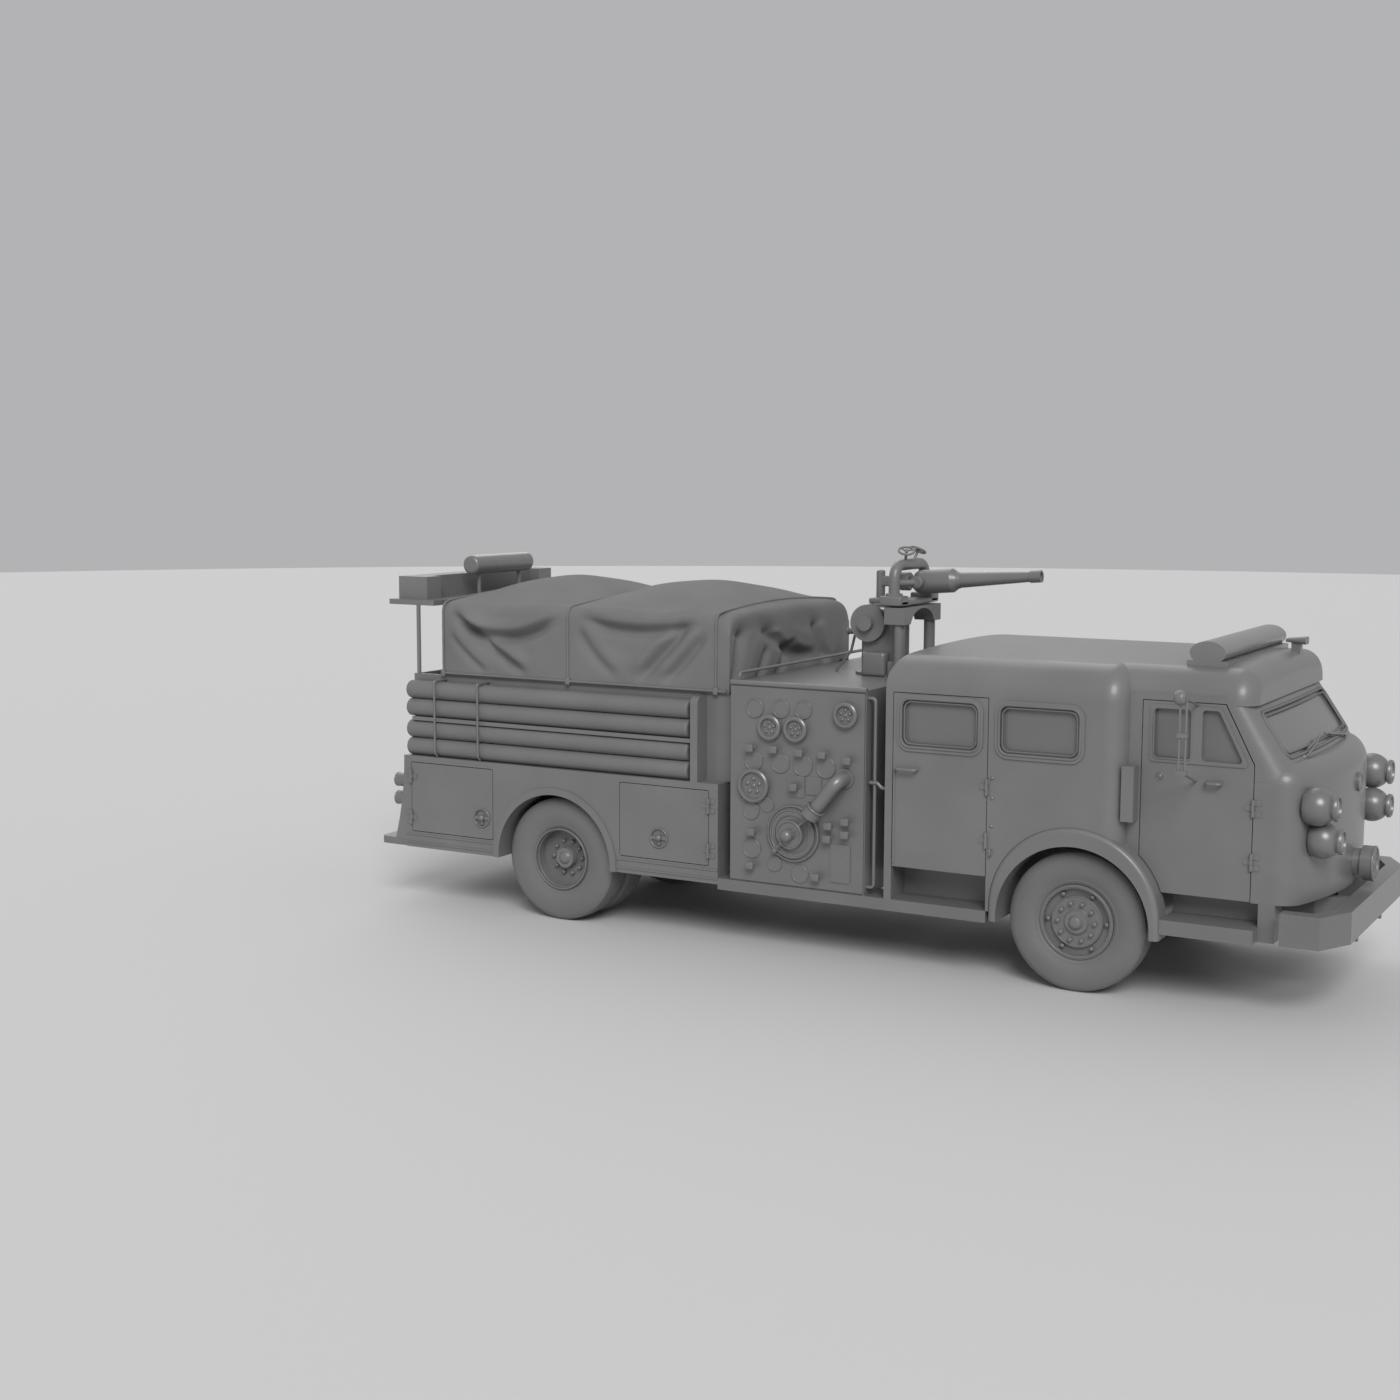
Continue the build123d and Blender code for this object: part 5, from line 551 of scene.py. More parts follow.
REAR_CREASES = (
    Crease((-0.95, 2.52), (0.95, 2.52), 0.060, 0.055, 0.26),
    Crease((-0.70, 2.05), (-0.95, 2.45), 0.040, 0.050, 0.0),
    Crease((0.70, 2.05), (0.95, 2.45), 0.040, 0.050, 0.0),
)


@dataclass
class Cover:
    """Canvas cover over the hose bed, domed between its bows and folded where it hangs."""

    rear: float = -3.513
    front: float = -0.68
    half: float = 1.083
    hem: float = 2.002
    bows: tuple[float, float, float] = (-3.5, -2.213, -0.80)
    eave: float = 2.555
    corner: float = 0.085
    valley: float = 2.69
    dome: float = 2.835
    across: int = 140
    length: int = 180
    end_rows: int = 32
    piping: float = 0.010
    ripple: float = 0.005
    cloth: float = 0.004
    slack: float = 0.15
    side_share: float = 0.5
    corner_share: float = 0.06

    def crown(self, x: float) -> float:
        """Height of the ridge at x."""
        top = self.valley
        for start, stop in zip(self.bows, self.bows[1:]):
            if start < x < stop:
                share = (x - start) / (stop - start)
                top += (self.dome - self.valley) * math.sin(math.pi * share) ** 0.75
        end = smooth_step((self.front - x) / 0.16) if x > self.bows[2] else 1.0
        return top - 0.035 * (1 - end)

    def section(self, x: float, share: float) -> Vector:
        """Point on the unfolded form.

        Args:
            x: Station along the vehicle.
            share: From -1 at the right hem to 1 at the left hem.

        Returns:
            The point.
        """
        reach = abs(share)
        if reach > self.side_share:
            fall = (reach - self.side_share) / (1 - self.side_share)
            y, z = self.half, self.eave + (self.hem - self.eave) * fall
        elif reach > self.side_share - self.corner_share:
            turn = (self.side_share - reach) / self.corner_share * math.pi / 2
            y = self.half - self.corner * (1 - math.cos(turn))
            z = self.eave + self.corner * math.sin(turn)
        else:
            flat = reach / (self.side_share - self.corner_share)
            y = (self.half - self.corner) * flat
            edge = self.eave + self.corner
            z = edge + (self.crown(x) - edge) * (1 - flat ** 1.8)
        return Vector((x, math.copysign(y, share), z))

    def fold(self, point: Vector, share: float) -> float:
        """Depth of the folds at a point, in metres inward."""
        held = min(abs(point.x - bow) for bow in self.bows)
        slack = smooth_step(held / 0.12)
        long_wave = math.sin(8.5 * point.x + 2.2 * point.y)
        ripple = self.ripple * long_wave * math.sin(6.1 * point.y + 1.7 * point.z)
        if abs(share) < self.side_share - self.corner_share:
            return slack * ripple
        depth = sum(crease.at(point.x, point.z) for crease in SIDE_CREASES)
        return slack * (depth + ripple)

    def build(self) -> None:
        """Make the sheet, its piping and its hem rail."""
        shape = Shape()
        grid = bmesh.ops.create_grid(shape.bm, x_segments=self.length, y_segments=self.across, size=1)
        span = self.front - self.rear
        for vert in grid["verts"]:
            x = self.rear + span * (vert.co.x + 1) / 2
            share = vert.co.y
            point = self.section(x, share)
            run = self.section(x, min(1, share + 0.01)) - self.section(x, max(-1, share - 0.01))
            inward = Vector((0, run.z, -run.y)).normalized()
            vert.co = point + inward * self.fold(point, share)
        self.close_end(shape.bm, self.rear, -1, REAR_CREASES)
        self.close_end(shape.bm, self.front, 1, FRONT_CREASES)
        for end_x, reach, passes in ((self.rear, 0.05, 6), (self.front, 0.15, 40)):
            near = [vert for vert in shape.bm.verts
                    if abs(vert.co.x - end_x) < reach and vert.co.z > self.eave - 0.1]
            for _ in range(passes):
                bmesh.ops.smooth_vert(shape.bm, verts=near, factor=0.5, use_axis_x=True,
                                      use_axis_y=True, use_axis_z=True)
        made = shape.piece("cover_sheet", CANVAS, "chassis", 80)
        thick = made.modifiers.new("cloth_thickness", "SOLIDIFY")
        thick.thickness = self.cloth
        thick.offset = -1
        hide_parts("tarp_cover")
        trim = [self.piping_piece(), self.hem_piece()]

    def close_end(self, bm: bmesh.types.BMesh, end_x: float, sign: int,
                  creases: Sequence[Crease]) -> None:
        """Hang the sheet's end down to the bed in folds.

        Args:
            bm: The sheet's bmesh.
            end_x: Station of the end.
            sign: 1 at the front, -1 at the rear.
            creases: Folds of the end, across and up.
        """
        edges = [edge for edge in bm.edges if all(abs(vert.co.x - end_x) < 1e-6 for vert in edge.verts)]
        for row in range(1, self.end_rows + 1):
            fall = row / self.end_rows
            made = bmesh.ops.extrude_edge_only(bm, edges=edges)
            verts = [item for item in made["geom"] if isinstance(item, bmesh.types.BMVert)]
            for vert in verts:
                y = vert.co.y
                lift = 0.10 * smooth_step((y - 0.70) / 0.3) if sign > 0 else 0.0
                low = self.hem + lift + 0.012 * (1 + math.sin(9 * y + 1.3)) * (sign > 0)
                low = min(low, vert.co.z)
                vert.co.z -= (vert.co.z - low) / (self.end_rows - row + 1)
                depth = sum(crease.at(y, vert.co.z) for crease in creases)
                depth += 0.012 + 0.012 * math.sin(5.5 * y + 1.5 * fall)
                held = smooth_step((self.half - abs(y)) / 0.10) * smooth_step(fall * 5)
                vert.co.x = end_x - sign * max(0.0, depth) * held
            edges = [item for item in made["geom"] if isinstance(item, bmesh.types.BMEdge)
                     and all(vert in verts for vert in item.verts)]

    def piping_piece(self) -> bpy.types.Object:
        """Piping over the sheet at its bows.

        Returns:
            The piping's object.
        """
        shape = Shape()
        for x in self.bows:
            points = []
            for step in range(-50, 51):
                share = step / 50
                point = self.section(x, share)
                lift = self.piping * 0.5
                points.append((x, point.y + math.copysign(lift, share) * (abs(share) > 0.44),
                               point.z + lift * (abs(share) <= 0.5)))
            shape.tube(points, self.piping, 8)
        return shape.piece("cover_piping", CANVAS, "chassis", 50)

    def hem_piece(self) -> bpy.types.Object:
        """Rail along each hem with a clip at each bow.

        Returns:
            The rails' object.
        """
        shape = Shape()
        y = -self.half - 0.006
        z = self.hem + 0.022
        shape.tube([(self.rear, y, z), (-2.2, y, z), (self.front - 0.02, y, z)], 0.012, 10)
        for x in self.bows:
            shape.box((x - 0.022, y - 0.016, z - 0.03), (x + 0.022, y + 0.006, z + 0.03), 0.006)
        shape.mirror_y()
        return shape.piece("cover_hem_rail", METAL, "chassis", 50)


@dataclass
class DeckGun:
    """The gun's stand on the pump deck and its turning head with the pipe looped across."""

    deck: float = 2.12
    leg_x: float = 0.43
    leg_half: float = 0.30
    leg_radius: float = 0.046
    saddle_x: tuple[float, float] = (0.325, 0.50)
    saddle_half: float = 0.365
    saddle_z: tuple[float, float] = (2.555, 2.69)
    saddle_arch: float = 0.225
    yoke_z: tuple[float, float] = (2.702, 2.78)
    yoke_x: tuple[float, float] = (0.285, 0.475)
    cheek_y: tuple[float, float] = (0.225, 0.383)
    loop_x: float = 0.38
    loop_top: float = 3.02
    pipe: float = 0.045
    swivel: Point = (0.175, 0.0, 2.6705)
    trunnion_x: float = 0.5
    trunnion_z: float = 2.88
    post_x: float = 0.125
    post_top: float = 2.955
    post_radius: float = 0.036
    wheel_y: float = 0.12
    wheel_radius: float = 0.062

    def build(self) -> None:
        """Make the stand and the head."""
        self.stand()
        self.head()

    def stand(self) -> None:
        """Two legs under an arched saddle, the column's cabinet and its crank."""
        shape = Shape()
        low, top = self.saddle_z
        grid = bmesh.ops.create_grid(shape.bm, x_segments=40, y_segments=1, size=1)
        for vert in grid["verts"]:
            y = self.saddle_half * vert.co.x
            under = low
            if abs(y) < self.saddle_arch:
                under = low + (top - low - 0.02) * math.sqrt(1 - (y / self.saddle_arch) ** 2)
            vert.co = Vector((self.saddle_x[0], y, top if vert.co.y > 0 else under))
        raised = bmesh.ops.extrude_face_region(shape.bm, geom=shape.bm.faces[:])
        verts = [item for item in raised["geom"] if isinstance(item, bmesh.types.BMVert)]
        bmesh.ops.translate(shape.bm, vec=(self.saddle_x[1] - self.saddle_x[0], 0, 0), verts=verts)
        for y in (-self.leg_half, self.leg_half):
            ends = [(self.leg_x, y, self.deck - 0.002), (self.leg_x, y, low + 0.01)]
            shape.tube(ends, self.leg_radius, 28)
            foot = [(0.0, 0.0), (0.078, 0.0), (0.078, 0.014), (0.066, 0.022), (self.leg_radius, 0.024)]
            shape.lathe(foot, (self.leg_x, y, self.deck - 0.001), (0, 0, 1), 32)
        shape.piece("gun_stand", PAINT, "chassis")
        small = Shape()
        small.box((0.075, -0.262, self.deck), (0.285, -0.153, self.deck + 0.198), 0.028, 4)
        small.box((0.288, -0.235, self.deck), (0.37, -0.12, self.deck + 0.13), 0.02, 3)
        small.tube([(0.03, -0.05, 2.46), (-0.14, -0.05, 2.46)], 0.024, 18)
        small.ring((-0.135, -0.05, 2.46), (1, 0, 0), 0.024, 0.007, 20)
        small.bent([(-0.07, -0.05, 2.46), (-0.11, -0.05, 2.30), (-0.25, -0.05, 2.118)], 0.05, 0.011, 10)
        small.piece("gun_stand_fittings", METAL, "chassis")

    def head(self) -> None:
        """Swivel drum, yoke with cheek blocks, the cross loop, bearings, breech and handwheels."""
        x, _, base = self.swivel
        low, top = self.yoke_z
        shape = Shape()
        drum = [(0.0, 0.0), (0.142, 0.0), (0.142, 0.022), (0.132, 0.034), (0.0, 0.036)]
        shape.lathe(drum, (x, 0, base), (0, 0, 1), 56)
        shape.box((x - 0.10, -0.125, low), (self.yoke_x[1] - 0.02, 0.125, low + 0.042), 0.012, 3)
        bridge = self.cheek_y[1] - 0.02
        shape.box((self.yoke_x[0], -bridge, low), (self.yoke_x[1], bridge, low + 0.04), 0.01, 2)
        for way in (-1, 1):
            inner, outer = sorted(way * edge for edge in self.cheek_y)
            shape.box((self.yoke_x[0], inner, low), (self.yoke_x[1], outer, top), 0.014, 3)
        feet = top - 0.02
        corners = [(self.loop_x, -self.leg_half, feet), (self.loop_x, -self.leg_half, self.loop_top),
                   (self.loop_x, self.leg_half, self.loop_top), (self.loop_x, self.leg_half, feet)]
        shape.bent(corners, 0.13, self.pipe, 28)
        for way in (-1, 1):
            flange = [(self.pipe, 0.0), (0.068, 0.0), (0.068, 0.018), (self.pipe, 0.024)]
            shape.lathe(flange, (self.loop_x, way * self.leg_half, top - 0.001), (0, 0, 1), 32)
            hub = (self.trunnion_x, way * 0.13, self.trunnion_z)
            shape.tube([(self.loop_x, way * (self.leg_half - 0.02), self.trunnion_z), hub], 0.026, 16)
            boss = [(0.0, 0.0), (0.05, 0.0), (0.05, 0.036), (0.042, 0.046), (0.0, 0.046)]
            shape.lathe(boss, (self.trunnion_x, way * 0.108, self.trunnion_z), (0, way, 0), 32)
        breech = [(0.0, 0.0), (0.064, 0.0), (0.074, 0.01), (0.074, 0.082), (0.066, 0.09), (0.0, 0.09)]
        shape.lathe(breech, (0.30, 0, self.trunnion_z), (1, 0, 0), 40)
        beam_low, beam_top = self.trunnion_z - 0.045, self.trunnion_z + 0.04
        shape.box((0.10, -0.03, beam_low), (0.32, 0.03, beam_top), 0.012, 3)
        shape.tube([(self.post_x, 0, low + 0.03), (self.post_x, 0, self.post_top)], self.post_radius, 24)
        shape.dome((self.post_x, 0, self.post_top), (0, 0, 1), self.post_radius, 0.014, 24)
        self.handwheels(shape)
        made = shape.piece("gun_head", PAINT, "gun_turret")
        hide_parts("gun_turret")

    def handwheels(self, shape: Shape) -> None:
        """Two small spoked handwheels over the loop, leaning outward.

        Args:
            shape: The head's shape.
        """
        for way in (-1, 1):
            foot = Vector((self.loop_x, way * (self.wheel_y - 0.035), self.loop_top + self.pipe - 0.01))
            axis = Vector((0.25, way * 0.42, 1)).normalized()
            hub = foot + axis * 0.085
            shape.tube([tuple(foot), tuple(hub)], 0.012, 12)
            shape.ring(tuple(hub), tuple(axis), self.wheel_radius, 0.009, 36)
            shape.dome(tuple(hub), tuple(axis), 0.02, 0.014, 16)
            side = axis.orthogonal().normalized()
            for step in range(3):
                arm = Matrix.Rotation(2 * math.pi * step / 3, 3, axis) @ side
                shape.tube([tuple(hub), tuple(hub + arm * self.wheel_radius)], 0.006, 8)


PANEL_GAUGES = (
    # share along the panel, z, radius
    (0.312, 1.791, 0.096), (0.505, 1.791, 0.096), (0.868, 1.928, 0.096), (0.195, 1.324, 0.13),
)
PANEL_LABELS = (
    # share along the panel, z, radius
    (0.190, 1.931, 0.078), (0.386, 1.938, 0.074), (0.552, 1.942, 0.074), (0.185, 1.515, 0.08),
    (0.385, 1.515, 0.08), (0.552, 1.51, 0.084), (0.720, 1.51, 0.084), (0.168, 1.12, 0.072),
    (0.174, 0.821, 0.08), (0.349, 0.717, 0.062), (0.537, 0.66, 0.074),
)
PANEL_KNOBS = (
    # share along the panel, z
    (0.177, 1.623), (0.354, 1.626), (0.544, 1.616), (0.712, 1.615), (0.892, 1.585),
    (0.192, 0.96), (0.183, 0.694), (0.883, 1.114), (0.883, 1.013), (0.761, 1.069),
    (0.754, 0.967), (0.505, 1.345), (0.672, 0.659),
)


@dataclass
class PumpPanel:
    """Gauges, knobs, cap and outlet details on both pump panels."""

    rear: float = -0.597
    length: float = 1.172
    face: float = -1.22
    gauge_proud: float = 0.026

    def at(self, share: float) -> float:
        """Station of a share along the panel."""
        return self.rear + self.length * share

    def build(self) -> None:
        """Make the details on the right panel and mirror them."""
        self.gauges()
        self.knobs()
        self.fittings()

    def gauges(self) -> None:
        """Bezel, inner ring and studs on each gauge, a thin rim on each label disc."""
        shape = Shape()
        y = self.face - self.gauge_proud
        out = (0, -1, 0)
        for share, z, radius in PANEL_GAUGES:
            x = self.at(share)
            bezel = [(radius - 0.03, 0.0), (radius + 0.004, 0.0), (radius + 0.004, 0.018),
                     (radius - 0.006, 0.026), (radius - 0.022, 0.024), (radius - 0.03, 0.002)]
            shape.lathe(bezel, (x, y, z), out, 48)
            for step in range(5):
                turn = 2 * math.pi * (step + 0.25) / 5
                reach = 0.42 * radius
                place = (x + reach * math.cos(turn), y, z + reach * math.sin(turn))
                shape.dome(place, out, 0.15 * radius, 0.016, 12)
            shape.dome((x, y, z), out, 0.17 * radius, 0.012, 14)
        for share, z, radius in PANEL_LABELS:
            shape.ring((self.at(share), self.face - 0.006, z), out, radius - 0.006, 0.005, 40)
        shape.mirror_y()
        shape.piece("panel_gauges", METAL, "chassis", 40)

    def knobs(self) -> None:
        """Square pull handles with a collar on the CAD stems."""
        shape = Shape()
        for share, z in PANEL_KNOBS:
            x = self.at(share)
            low = (x - 0.033, self.face - 0.072, z - 0.03)
            shape.box(low, (x + 0.033, self.face - 0.034, z + 0.03), 0.007)
            shape.lathe([(0.0, 0.0), (0.022, 0.0), (0.022, 0.01), (0.014, 0.016), (0.0, 0.016)],
                        (x, self.face, z), (0, -1, 0), 20)
        shape.mirror_y()
        shape.piece("panel_knobs", METAL, "chassis", 40)

    def fittings(self) -> None:
        """Rings, ball and spokes of the intake cap, mouth of the outlet, and the rail's bracket bar."""
        shape = Shape()
        x, z = self.at(0.49), 0.975
        out = (0, -1, 0)
        for radius, proud, thick in ((0.214, 0.022, 0.010), (0.186, 0.040, 0.008), (0.15, 0.040, 0.009),
                                     (0.104, 0.085, 0.009)):
            shape.ring((x, self.face - proud, z), out, radius, thick, 64)
        shape.dome((x, self.face - 0.132, z), out, 0.05, 0.045, 28)
        for turn in (45, 225):
            run = Vector((math.cos(math.radians(turn)), 0, math.sin(math.radians(turn))))
            start = Vector((x, self.face - 0.085, z)) + run * 0.045
            stop = Vector((x, self.face - 0.052, z)) + run * 0.205
            shape.tube([tuple(start), tuple(stop)], 0.011, 10)
            shape.dome(tuple(stop + Vector((0, 0.004, 0))), out, 0.02, 0.022, 14)
        mouth = Vector((0.1945, -1.35, 1.171))
        run = Vector((-0.6247, 0, -0.7809))
        rim = [(0.05, -0.004), (0.05, 0.03), (0.06, 0.036), (0.074, 0.03), (0.074, -0.03),
               (0.06, -0.034)]
        shape.lathe(rim, tuple(mouth), tuple(run), 40)
        shape.ring(tuple(mouth - run * 0.05), tuple(run), 0.071, 0.009, 40)
        bracket = [(0.60, 1.42), (0.66, 1.42), (0.70, 1.385), (0.746, 1.385)]
        shape.bent([(x, -1.18, z) for x, z in bracket], 0.02, 0.014, 12)
        shape.mirror_y()
        shape.piece("panel_fittings", METAL, "chassis", 40)


@dataclass
class Cab:
    """Seals, wipers, beads, bolts and locks of the cab and its doors."""

    side: float = 1.22
    front_side: float = 1.09
    seal: float = 0.011
    screen_half: float = 0.94
    screen_z: tuple[float, float] = (1.806, 2.112)

    def screen_x(self, y: float, z: float) -> float:
        """Station of the bowed, leaning windscreen.

        Args:
            y: Place across the vehicle.
            z: Height.

        Returns:
            Its X.
        """
        lean = (z - 1.65) / 0.58
        low = 3.812 - (8.3 - math.sqrt(8.3 ** 2 - y * y))
        over = max(0.0, abs(y) - 0.89)
        low -= 0.2 - math.sqrt(0.04 - over * over)
        high = 3.378 - (40 - math.sqrt(1600 - y * y))
        return low + (high - low) * lean

    def build(self) -> None:
        """Make every piece of trim."""
        self.windows()
        self.windscreen()
        self.door_details()

    def windows(self) -> None:
        """Rubber seals round the side windows."""
        for side in Side:
            y = side.value * (self.side + 0.012)
            for name, body, x in (("crew_door_seal", f"crew_door_{side.word}", (0.871, 1.493)),
                                  ("side_window_seal", "chassis", (1.647, 2.262))):
                shape = Shape()
                shape.tube(rounded_loop(x, (1.722, 2.088), 0.07, y), self.seal, 10, closed=True)
                sunk = y - side.value * 0.008
                inner = rounded_loop((x[0] + 0.024, x[1] - 0.024), (1.746, 2.064), 0.055, sunk)
                shape.tube(inner, 0.006, 8, closed=True)
                shape.piece(f"{name}_{side.word}", RUBBER, body, 50)
            shape = Shape()
            door_y = side.value * (self.front_side + 0.008)
            pane = rounded_loop((2.75, 3.02), (1.765, 2.124), 0.03, door_y)
            shape.tube(pane, 0.008, 8, closed=True)
            shape.piece(f"front_door_seal_{side.word}", RUBBER, f"front_door_{side.word}", 50)

    def windscreen(self) -> None:
        """Double seal round the windscreen and two wipers lying along its foot."""
        shape = Shape()
        for inset, thick, proud in ((0.0, 0.013, 0.004), (0.03, 0.007, 0.0)):
            half = self.screen_half - inset
            low, high = self.screen_z[0] + inset, self.screen_z[1] - inset
            loop = rounded_loop((-half, half), (low, high), 0.06, 0.0, 8)
            dense = []
            for here, after in zip(loop, loop[1:] + loop[:1]):
                cuts = max(1, int(abs(after[0] - here[0]) / 0.08))
                dense += [tuple(Vector(here).lerp(Vector(after), step / cuts)) for step in range(cuts)]
            line = [(self.screen_x(y, z) + proud, y, z) for y, _, z in dense]
            shape.tube(line, thick, 8, closed=True)
        shape.piece("windscreen_seal", RUBBER, "chassis", 50)
        wipers = Shape()
        for way in (-1, 1):
            stops = [(way * 0.64, 1.782, 0.004), (way * 0.60, 1.80, 0.03), (way * 0.30, 1.838, 0.03),
                     (way * 0.08, 1.87, 0.024)]
            line = [(self.screen_x(y, z) + proud, y, z) for y, z, proud in stops]
            wipers.tube(line, 0.007, 8)
            blade = [(way * (0.52 - 0.11 * step), 1.824 + 0.009 * step) for step in range(5)]
            wipers.tube([(self.screen_x(y, z) + 0.016, y, z) for y, z in blade], 0.009, 8)
            wipers.dome((self.screen_x(way * 0.64, 1.782) - 0.004, way * 0.64, 1.782), (0.8, 0, 0.6),
                        0.022, 0.02, 16)
        wipers.piece("wipers", METAL, "chassis", 50)

    def door_details(self) -> None:
        """Beads, bolt heads, hooks and locks."""
        for side in Side:
            way = side.value
            out = (0, way, 0)
            bead = Shape()
            bead_y = way * (self.side + 0.002)
            bead.tube([(0.818, bead_y, 0.83), (0.818, bead_y, 1.54)], 0.009, 10)
            bead.piece(f"crew_door_bead_{side.word}", PAINT, f"crew_door_{side.word}", 50)
            bolts = Shape()
            for z in (1.54, 1.391, 1.184):
                bolts.dome((1.60, way * (self.side - 0.001), z), out, 0.015, 0.012, 14)
            hook = [(1.60, way * (self.side - 0.004), 1.01), (1.60, way * (self.side + 0.03), 1.01),
                    (1.60, way * (self.side + 0.03), 0.965), (1.60, way * (self.side - 0.004), 0.965)]
            bolts.bent(hook, 0.012, 0.007, 8)
            bolts.piece(f"cab_side_bolts_{side.word}", METAL, "chassis", 50)
            latch = Shape()
            latch.dome((2.80, way * (self.front_side - 0.001), 1.637), out, 0.02, 0.01, 20)
            latch.ring((2.80, way * self.front_side, 1.637), out, 0.027, 0.005, 24)
            latch.piece(f"front_door_lock_{side.word}", METAL, f"front_door_{side.word}", 50)


@dataclass
class Lamps:
    """Rings and lenses of the head and tail lamps and the siren's grille rings."""

    head: tuple[tuple[float, float, float, float], ...] = (
        # x of the lens, y, z, lens radius
        (3.987, 0.935, 1.49, 0.081),
        (4.007, 0.845, 1.243, 0.078),
    )

    def build(self) -> None:
        """Make lenses, rings and siren trim."""
        ahead, back = (1, 0, 0), (-1, 0, 0)
        lenses, rings = Shape(), Shape()
        for x, y, z, radius in self.head:
            lenses.dome((x - 0.001, -y, z), ahead, radius - 0.008, 0.016, 40)
            rim = [(radius - 0.012, 0.0), (radius + 0.012, -0.008), (radius + 0.012, 0.012),
                   (radius + 0.004, 0.022), (radius - 0.006, 0.02), (radius - 0.012, 0.0)]
            rings.lathe(rim, (x, -y, z), ahead, 48)
        for z in (0.90, 1.06):
            lenses.dome((-3.986, -1.12, z), back, 0.052, 0.02, 32)
            rings.ring((-3.985, -1.12, z), back, 0.055, 0.008, 36)
        lenses.mirror_y()
        rings.mirror_y()
        lenses.piece("lamp_lenses", LENS, "chassis", 50)
        for radius, thick in ((0.122, 0.01), (0.088, 0.007), (0.055, 0.006)):
            rings.ring((4.079, 0, 0.95), ahead, radius, thick, 48)
        rings.dome((4.078, 0, 0.95), ahead, 0.032, 0.016, 24)
        rings.ring((3.955, 0, 1.54), ahead, 0.062, 0.006, 36)
        rings.piece("lamp_rings", METAL, "chassis", 45)


@dataclass
class Lockers:
    """Ball handles on the locker doors."""

    latch_z: float = 0.818
    face: float = 1.22
    stations: tuple[tuple[str, float], ...] = (("rear_locker", -3.010), ("front_locker", -1.2465))

    def build(self) -> None:
        """Make a handle for each door."""
        for side in Side:
            way = side.value
            out = (0, way, 0)
            for name, x in self.stations:
                shape = Shape()
                shape.ring((x, way * (self.face + 0.008), self.latch_z), out, 0.077, 0.007, 48)
                stem = [(x, way * (self.face + reach), self.latch_z) for reach in (-0.004, 0.02)]
                shape.tube(stem, 0.014, 14)
                shape.dome((x, way * (self.face + 0.012), self.latch_z), out, 0.028, 0.024, 20)
                shape.box((x - 0.012, way * self.face - 0.009, self.latch_z - 0.062),
                          (x + 0.012, way * self.face + 0.009, self.latch_z - 0.01), 0.004)
                shape.piece(f"{name}_handle_{side.word}", METAL, f"{name}_door_{side.word}", 45)


@dataclass
class Seats:
    """Padded cushions of the two seats and the bench."""

    edge: float = 0.03

    def build(self) -> None:
        """Make each cushion as a soft closed form inside its CAD block."""
        blocks = [
            # low corner, high corner
            ((2.932, -0.978, 1.152), (3.248, -0.472, 1.258)),
            ((2.842, -0.978, 1.152), (2.928, -0.472, 1.708)),
            ((2.932, 0.472, 1.152), (3.248, 0.978, 1.258)),
            ((2.842, 0.472, 1.152), (2.928, 0.978, 1.708)),
            ((0.881, -0.698, 1.232), (1.188, 0.698, 1.338)),
            ((0.79, -0.698, 1.232), (0.876, 0.698, 1.788)),
        ]
        for index, (low, high) in enumerate(blocks):
            shape = Shape()
            shape.box(low, high, self.edge, 4)
            bmesh.ops.subdivide_edges(shape.bm, edges=shape.bm.edges[:], cuts=3, use_grid_fill=True)
            for _ in range(4):
                bmesh.ops.smooth_vert(shape.bm, verts=shape.bm.verts[:], factor=0.5, use_axis_x=True,
                                      use_axis_y=True, use_axis_z=True)
            cushion = shape.piece(f"cushion_{index}", VINYL, "chassis", 60)
            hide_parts("cab_seats")


def dress_nodes(frame: dict) -> None:
    """Give each CAD node its finish by its record slot.

    Args:
        frame: The loaded frame.
    """
    by_slot = {finish.slot: finish for finish in FINISHES}
    for entry in frame["record"]["subparts"]:
        node = frame["nodes"][entry["node"]]
        node.data.materials.clear()
        node.data.materials.append(by_slot[entry["material_slot"]].material())


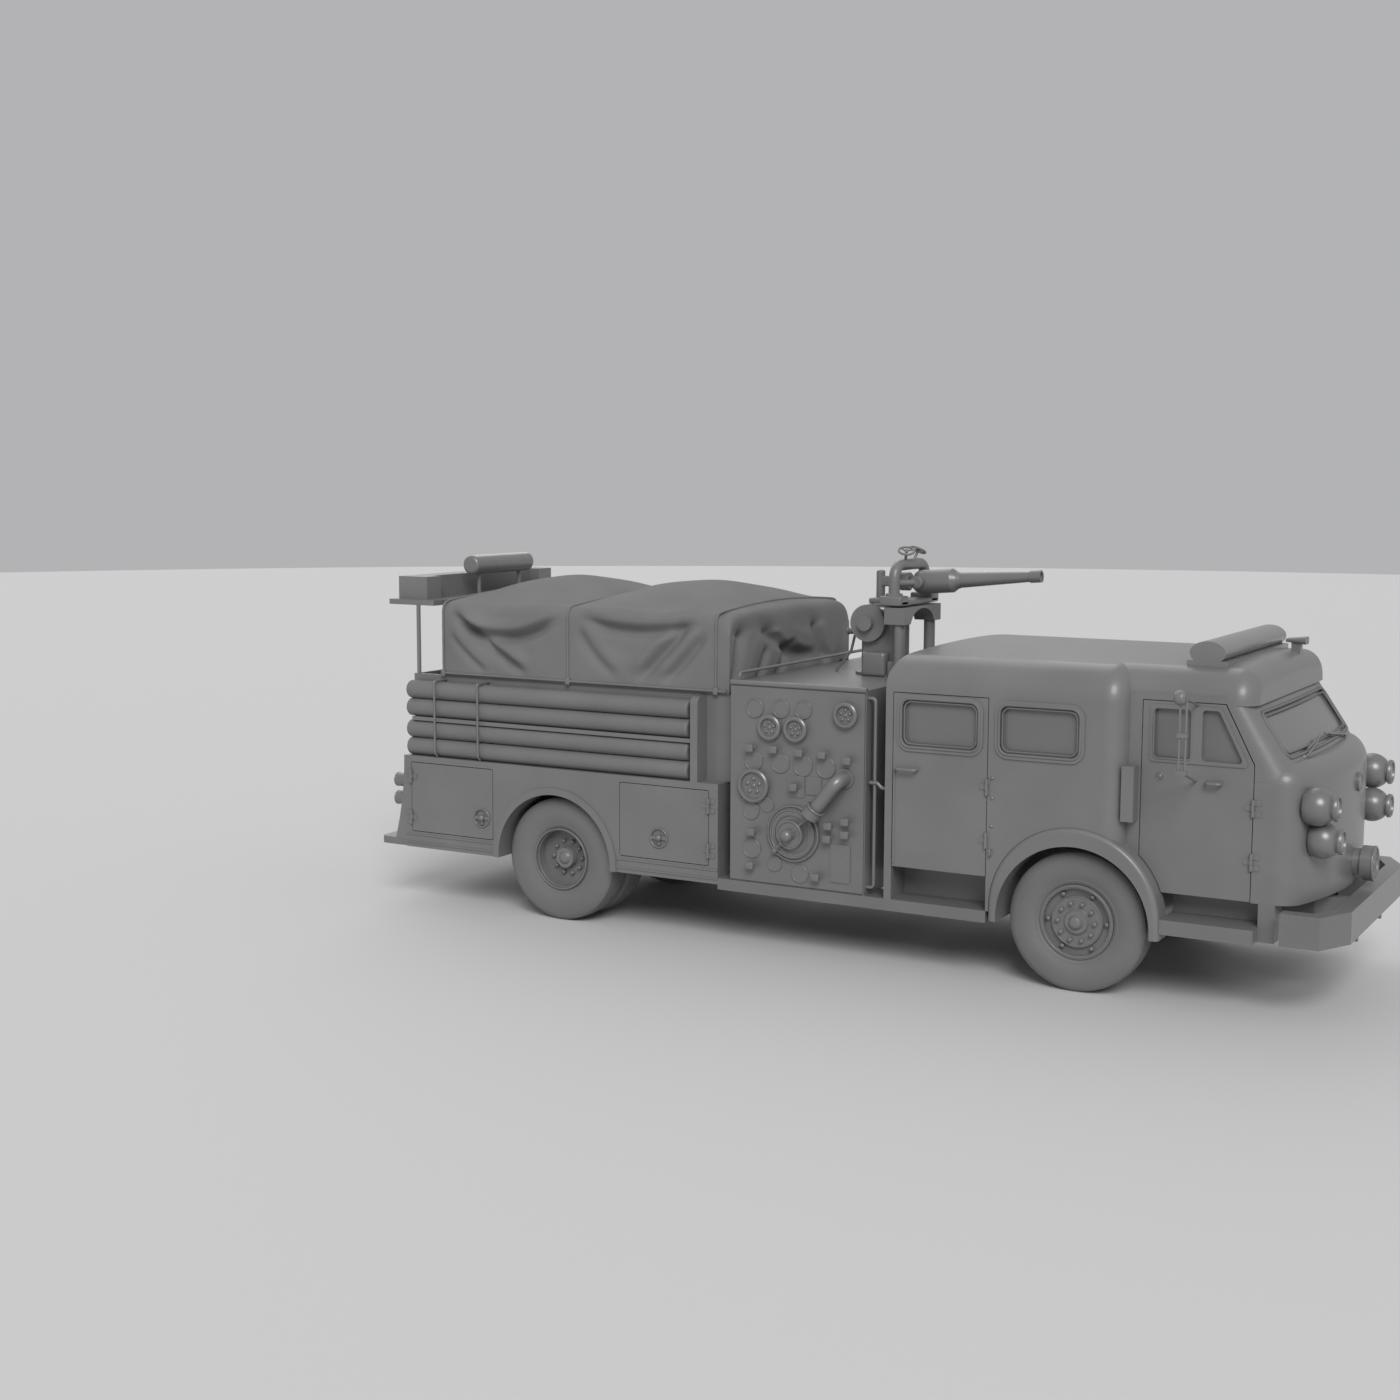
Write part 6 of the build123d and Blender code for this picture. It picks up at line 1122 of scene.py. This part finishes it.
@dataclass
class Studio:
    """Pale floor, soft light and the photograph's camera."""

    eye: Point = (6.7677, -14.4494, 3.7843)
    yaw: float = 0.523487
    pitch: float = 0.118686
    roll: float = 0.002693
    lens: float = 50.0
    floor_grey: float = 0.6
    sky_strength: float = 0.5
    suns: tuple[tuple[str, Point, float, float], ...] = (
        # name, where it stands, strength, spread in radians
        ("key", (0.62, -0.95, 0.85), 2.0, 0.5),
        ("fill", (-0.75, 0.70, 0.75), 0.75, 1.0),
    )

    def build(self) -> None:
        """Set the stage."""
        scene = bpy.context.scene
        scene.view_settings.view_transform = "Standard"
        shape = bmesh.new()
        bmesh.ops.create_circle(shape, cap_ends=True, segments=96, radius=60)
        mesh = bpy.data.meshes.new("floor")
        shape.to_mesh(mesh)
        shape.free()
        floor = bpy.data.objects.new("floor", mesh)
        scene.collection.objects.link(floor)
        pale = bpy.data.materials.new("floor_pale")
        pale.use_nodes = True
        shader = pale.node_tree.nodes["Principled BSDF"]
        shader.inputs["Base Color"].default_value = (*[self.floor_grey] * 3, 1)
        shader.inputs["Roughness"].default_value = 0.85
        mesh.materials.append(pale)
        self.light()
        self.camera()

    def light(self) -> None:
        """A wide soft key light, a weak fill and a pale sky."""
        world = bpy.data.worlds.new("studio")
        world.use_nodes = True
        back = world.node_tree.nodes["Background"]
        back.inputs["Color"].default_value = (0.9, 0.9, 0.92, 1)
        back.inputs["Strength"].default_value = self.sky_strength
        bpy.context.scene.world = world
        for name, stand, strength, spread in self.suns:
            lamp = bpy.data.lights.new(name, "SUN")
            lamp.energy = strength
            lamp.angle = spread
            made = bpy.data.objects.new(name, lamp)
            made.rotation_euler = (-Vector(stand)).to_track_quat("-Z", "Y").to_euler()
            bpy.context.scene.collection.objects.link(made)

    def camera(self) -> None:
        """Camera at the photograph's place and angle."""
        data = bpy.data.cameras.new("photo_camera")
        data.lens = self.lens
        data.sensor_width = 36
        data.clip_end = 200
        made = bpy.data.objects.new("photo_camera", data)
        turn = Matrix.Rotation(self.yaw, 4, "Z") @ Matrix.Rotation(math.pi / 2 - self.pitch, 4, "X")
        turn = turn @ Matrix.Rotation(self.roll, 4, "Z")
        made.matrix_world = Matrix.Translation(self.eye) @ turn
        bpy.context.scene.collection.objects.link(made)
        bpy.context.scene.camera = made


def main() -> None:
    """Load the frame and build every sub-assembly."""
    logging.basicConfig(level=logging.INFO, format="%(message)s")
    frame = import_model()
    dress_nodes(frame)
    assemblies = (Studio(), Tyres(), Wheels(), Cover(), DeckGun(), PumpPanel(), Cab(), Lamps(),
                  Lockers(), Seats())
    for assembly in assemblies:
        assembly.build()
        LOG.info("%s done", type(assembly).__name__)


if __name__ == "__main__":
    main()
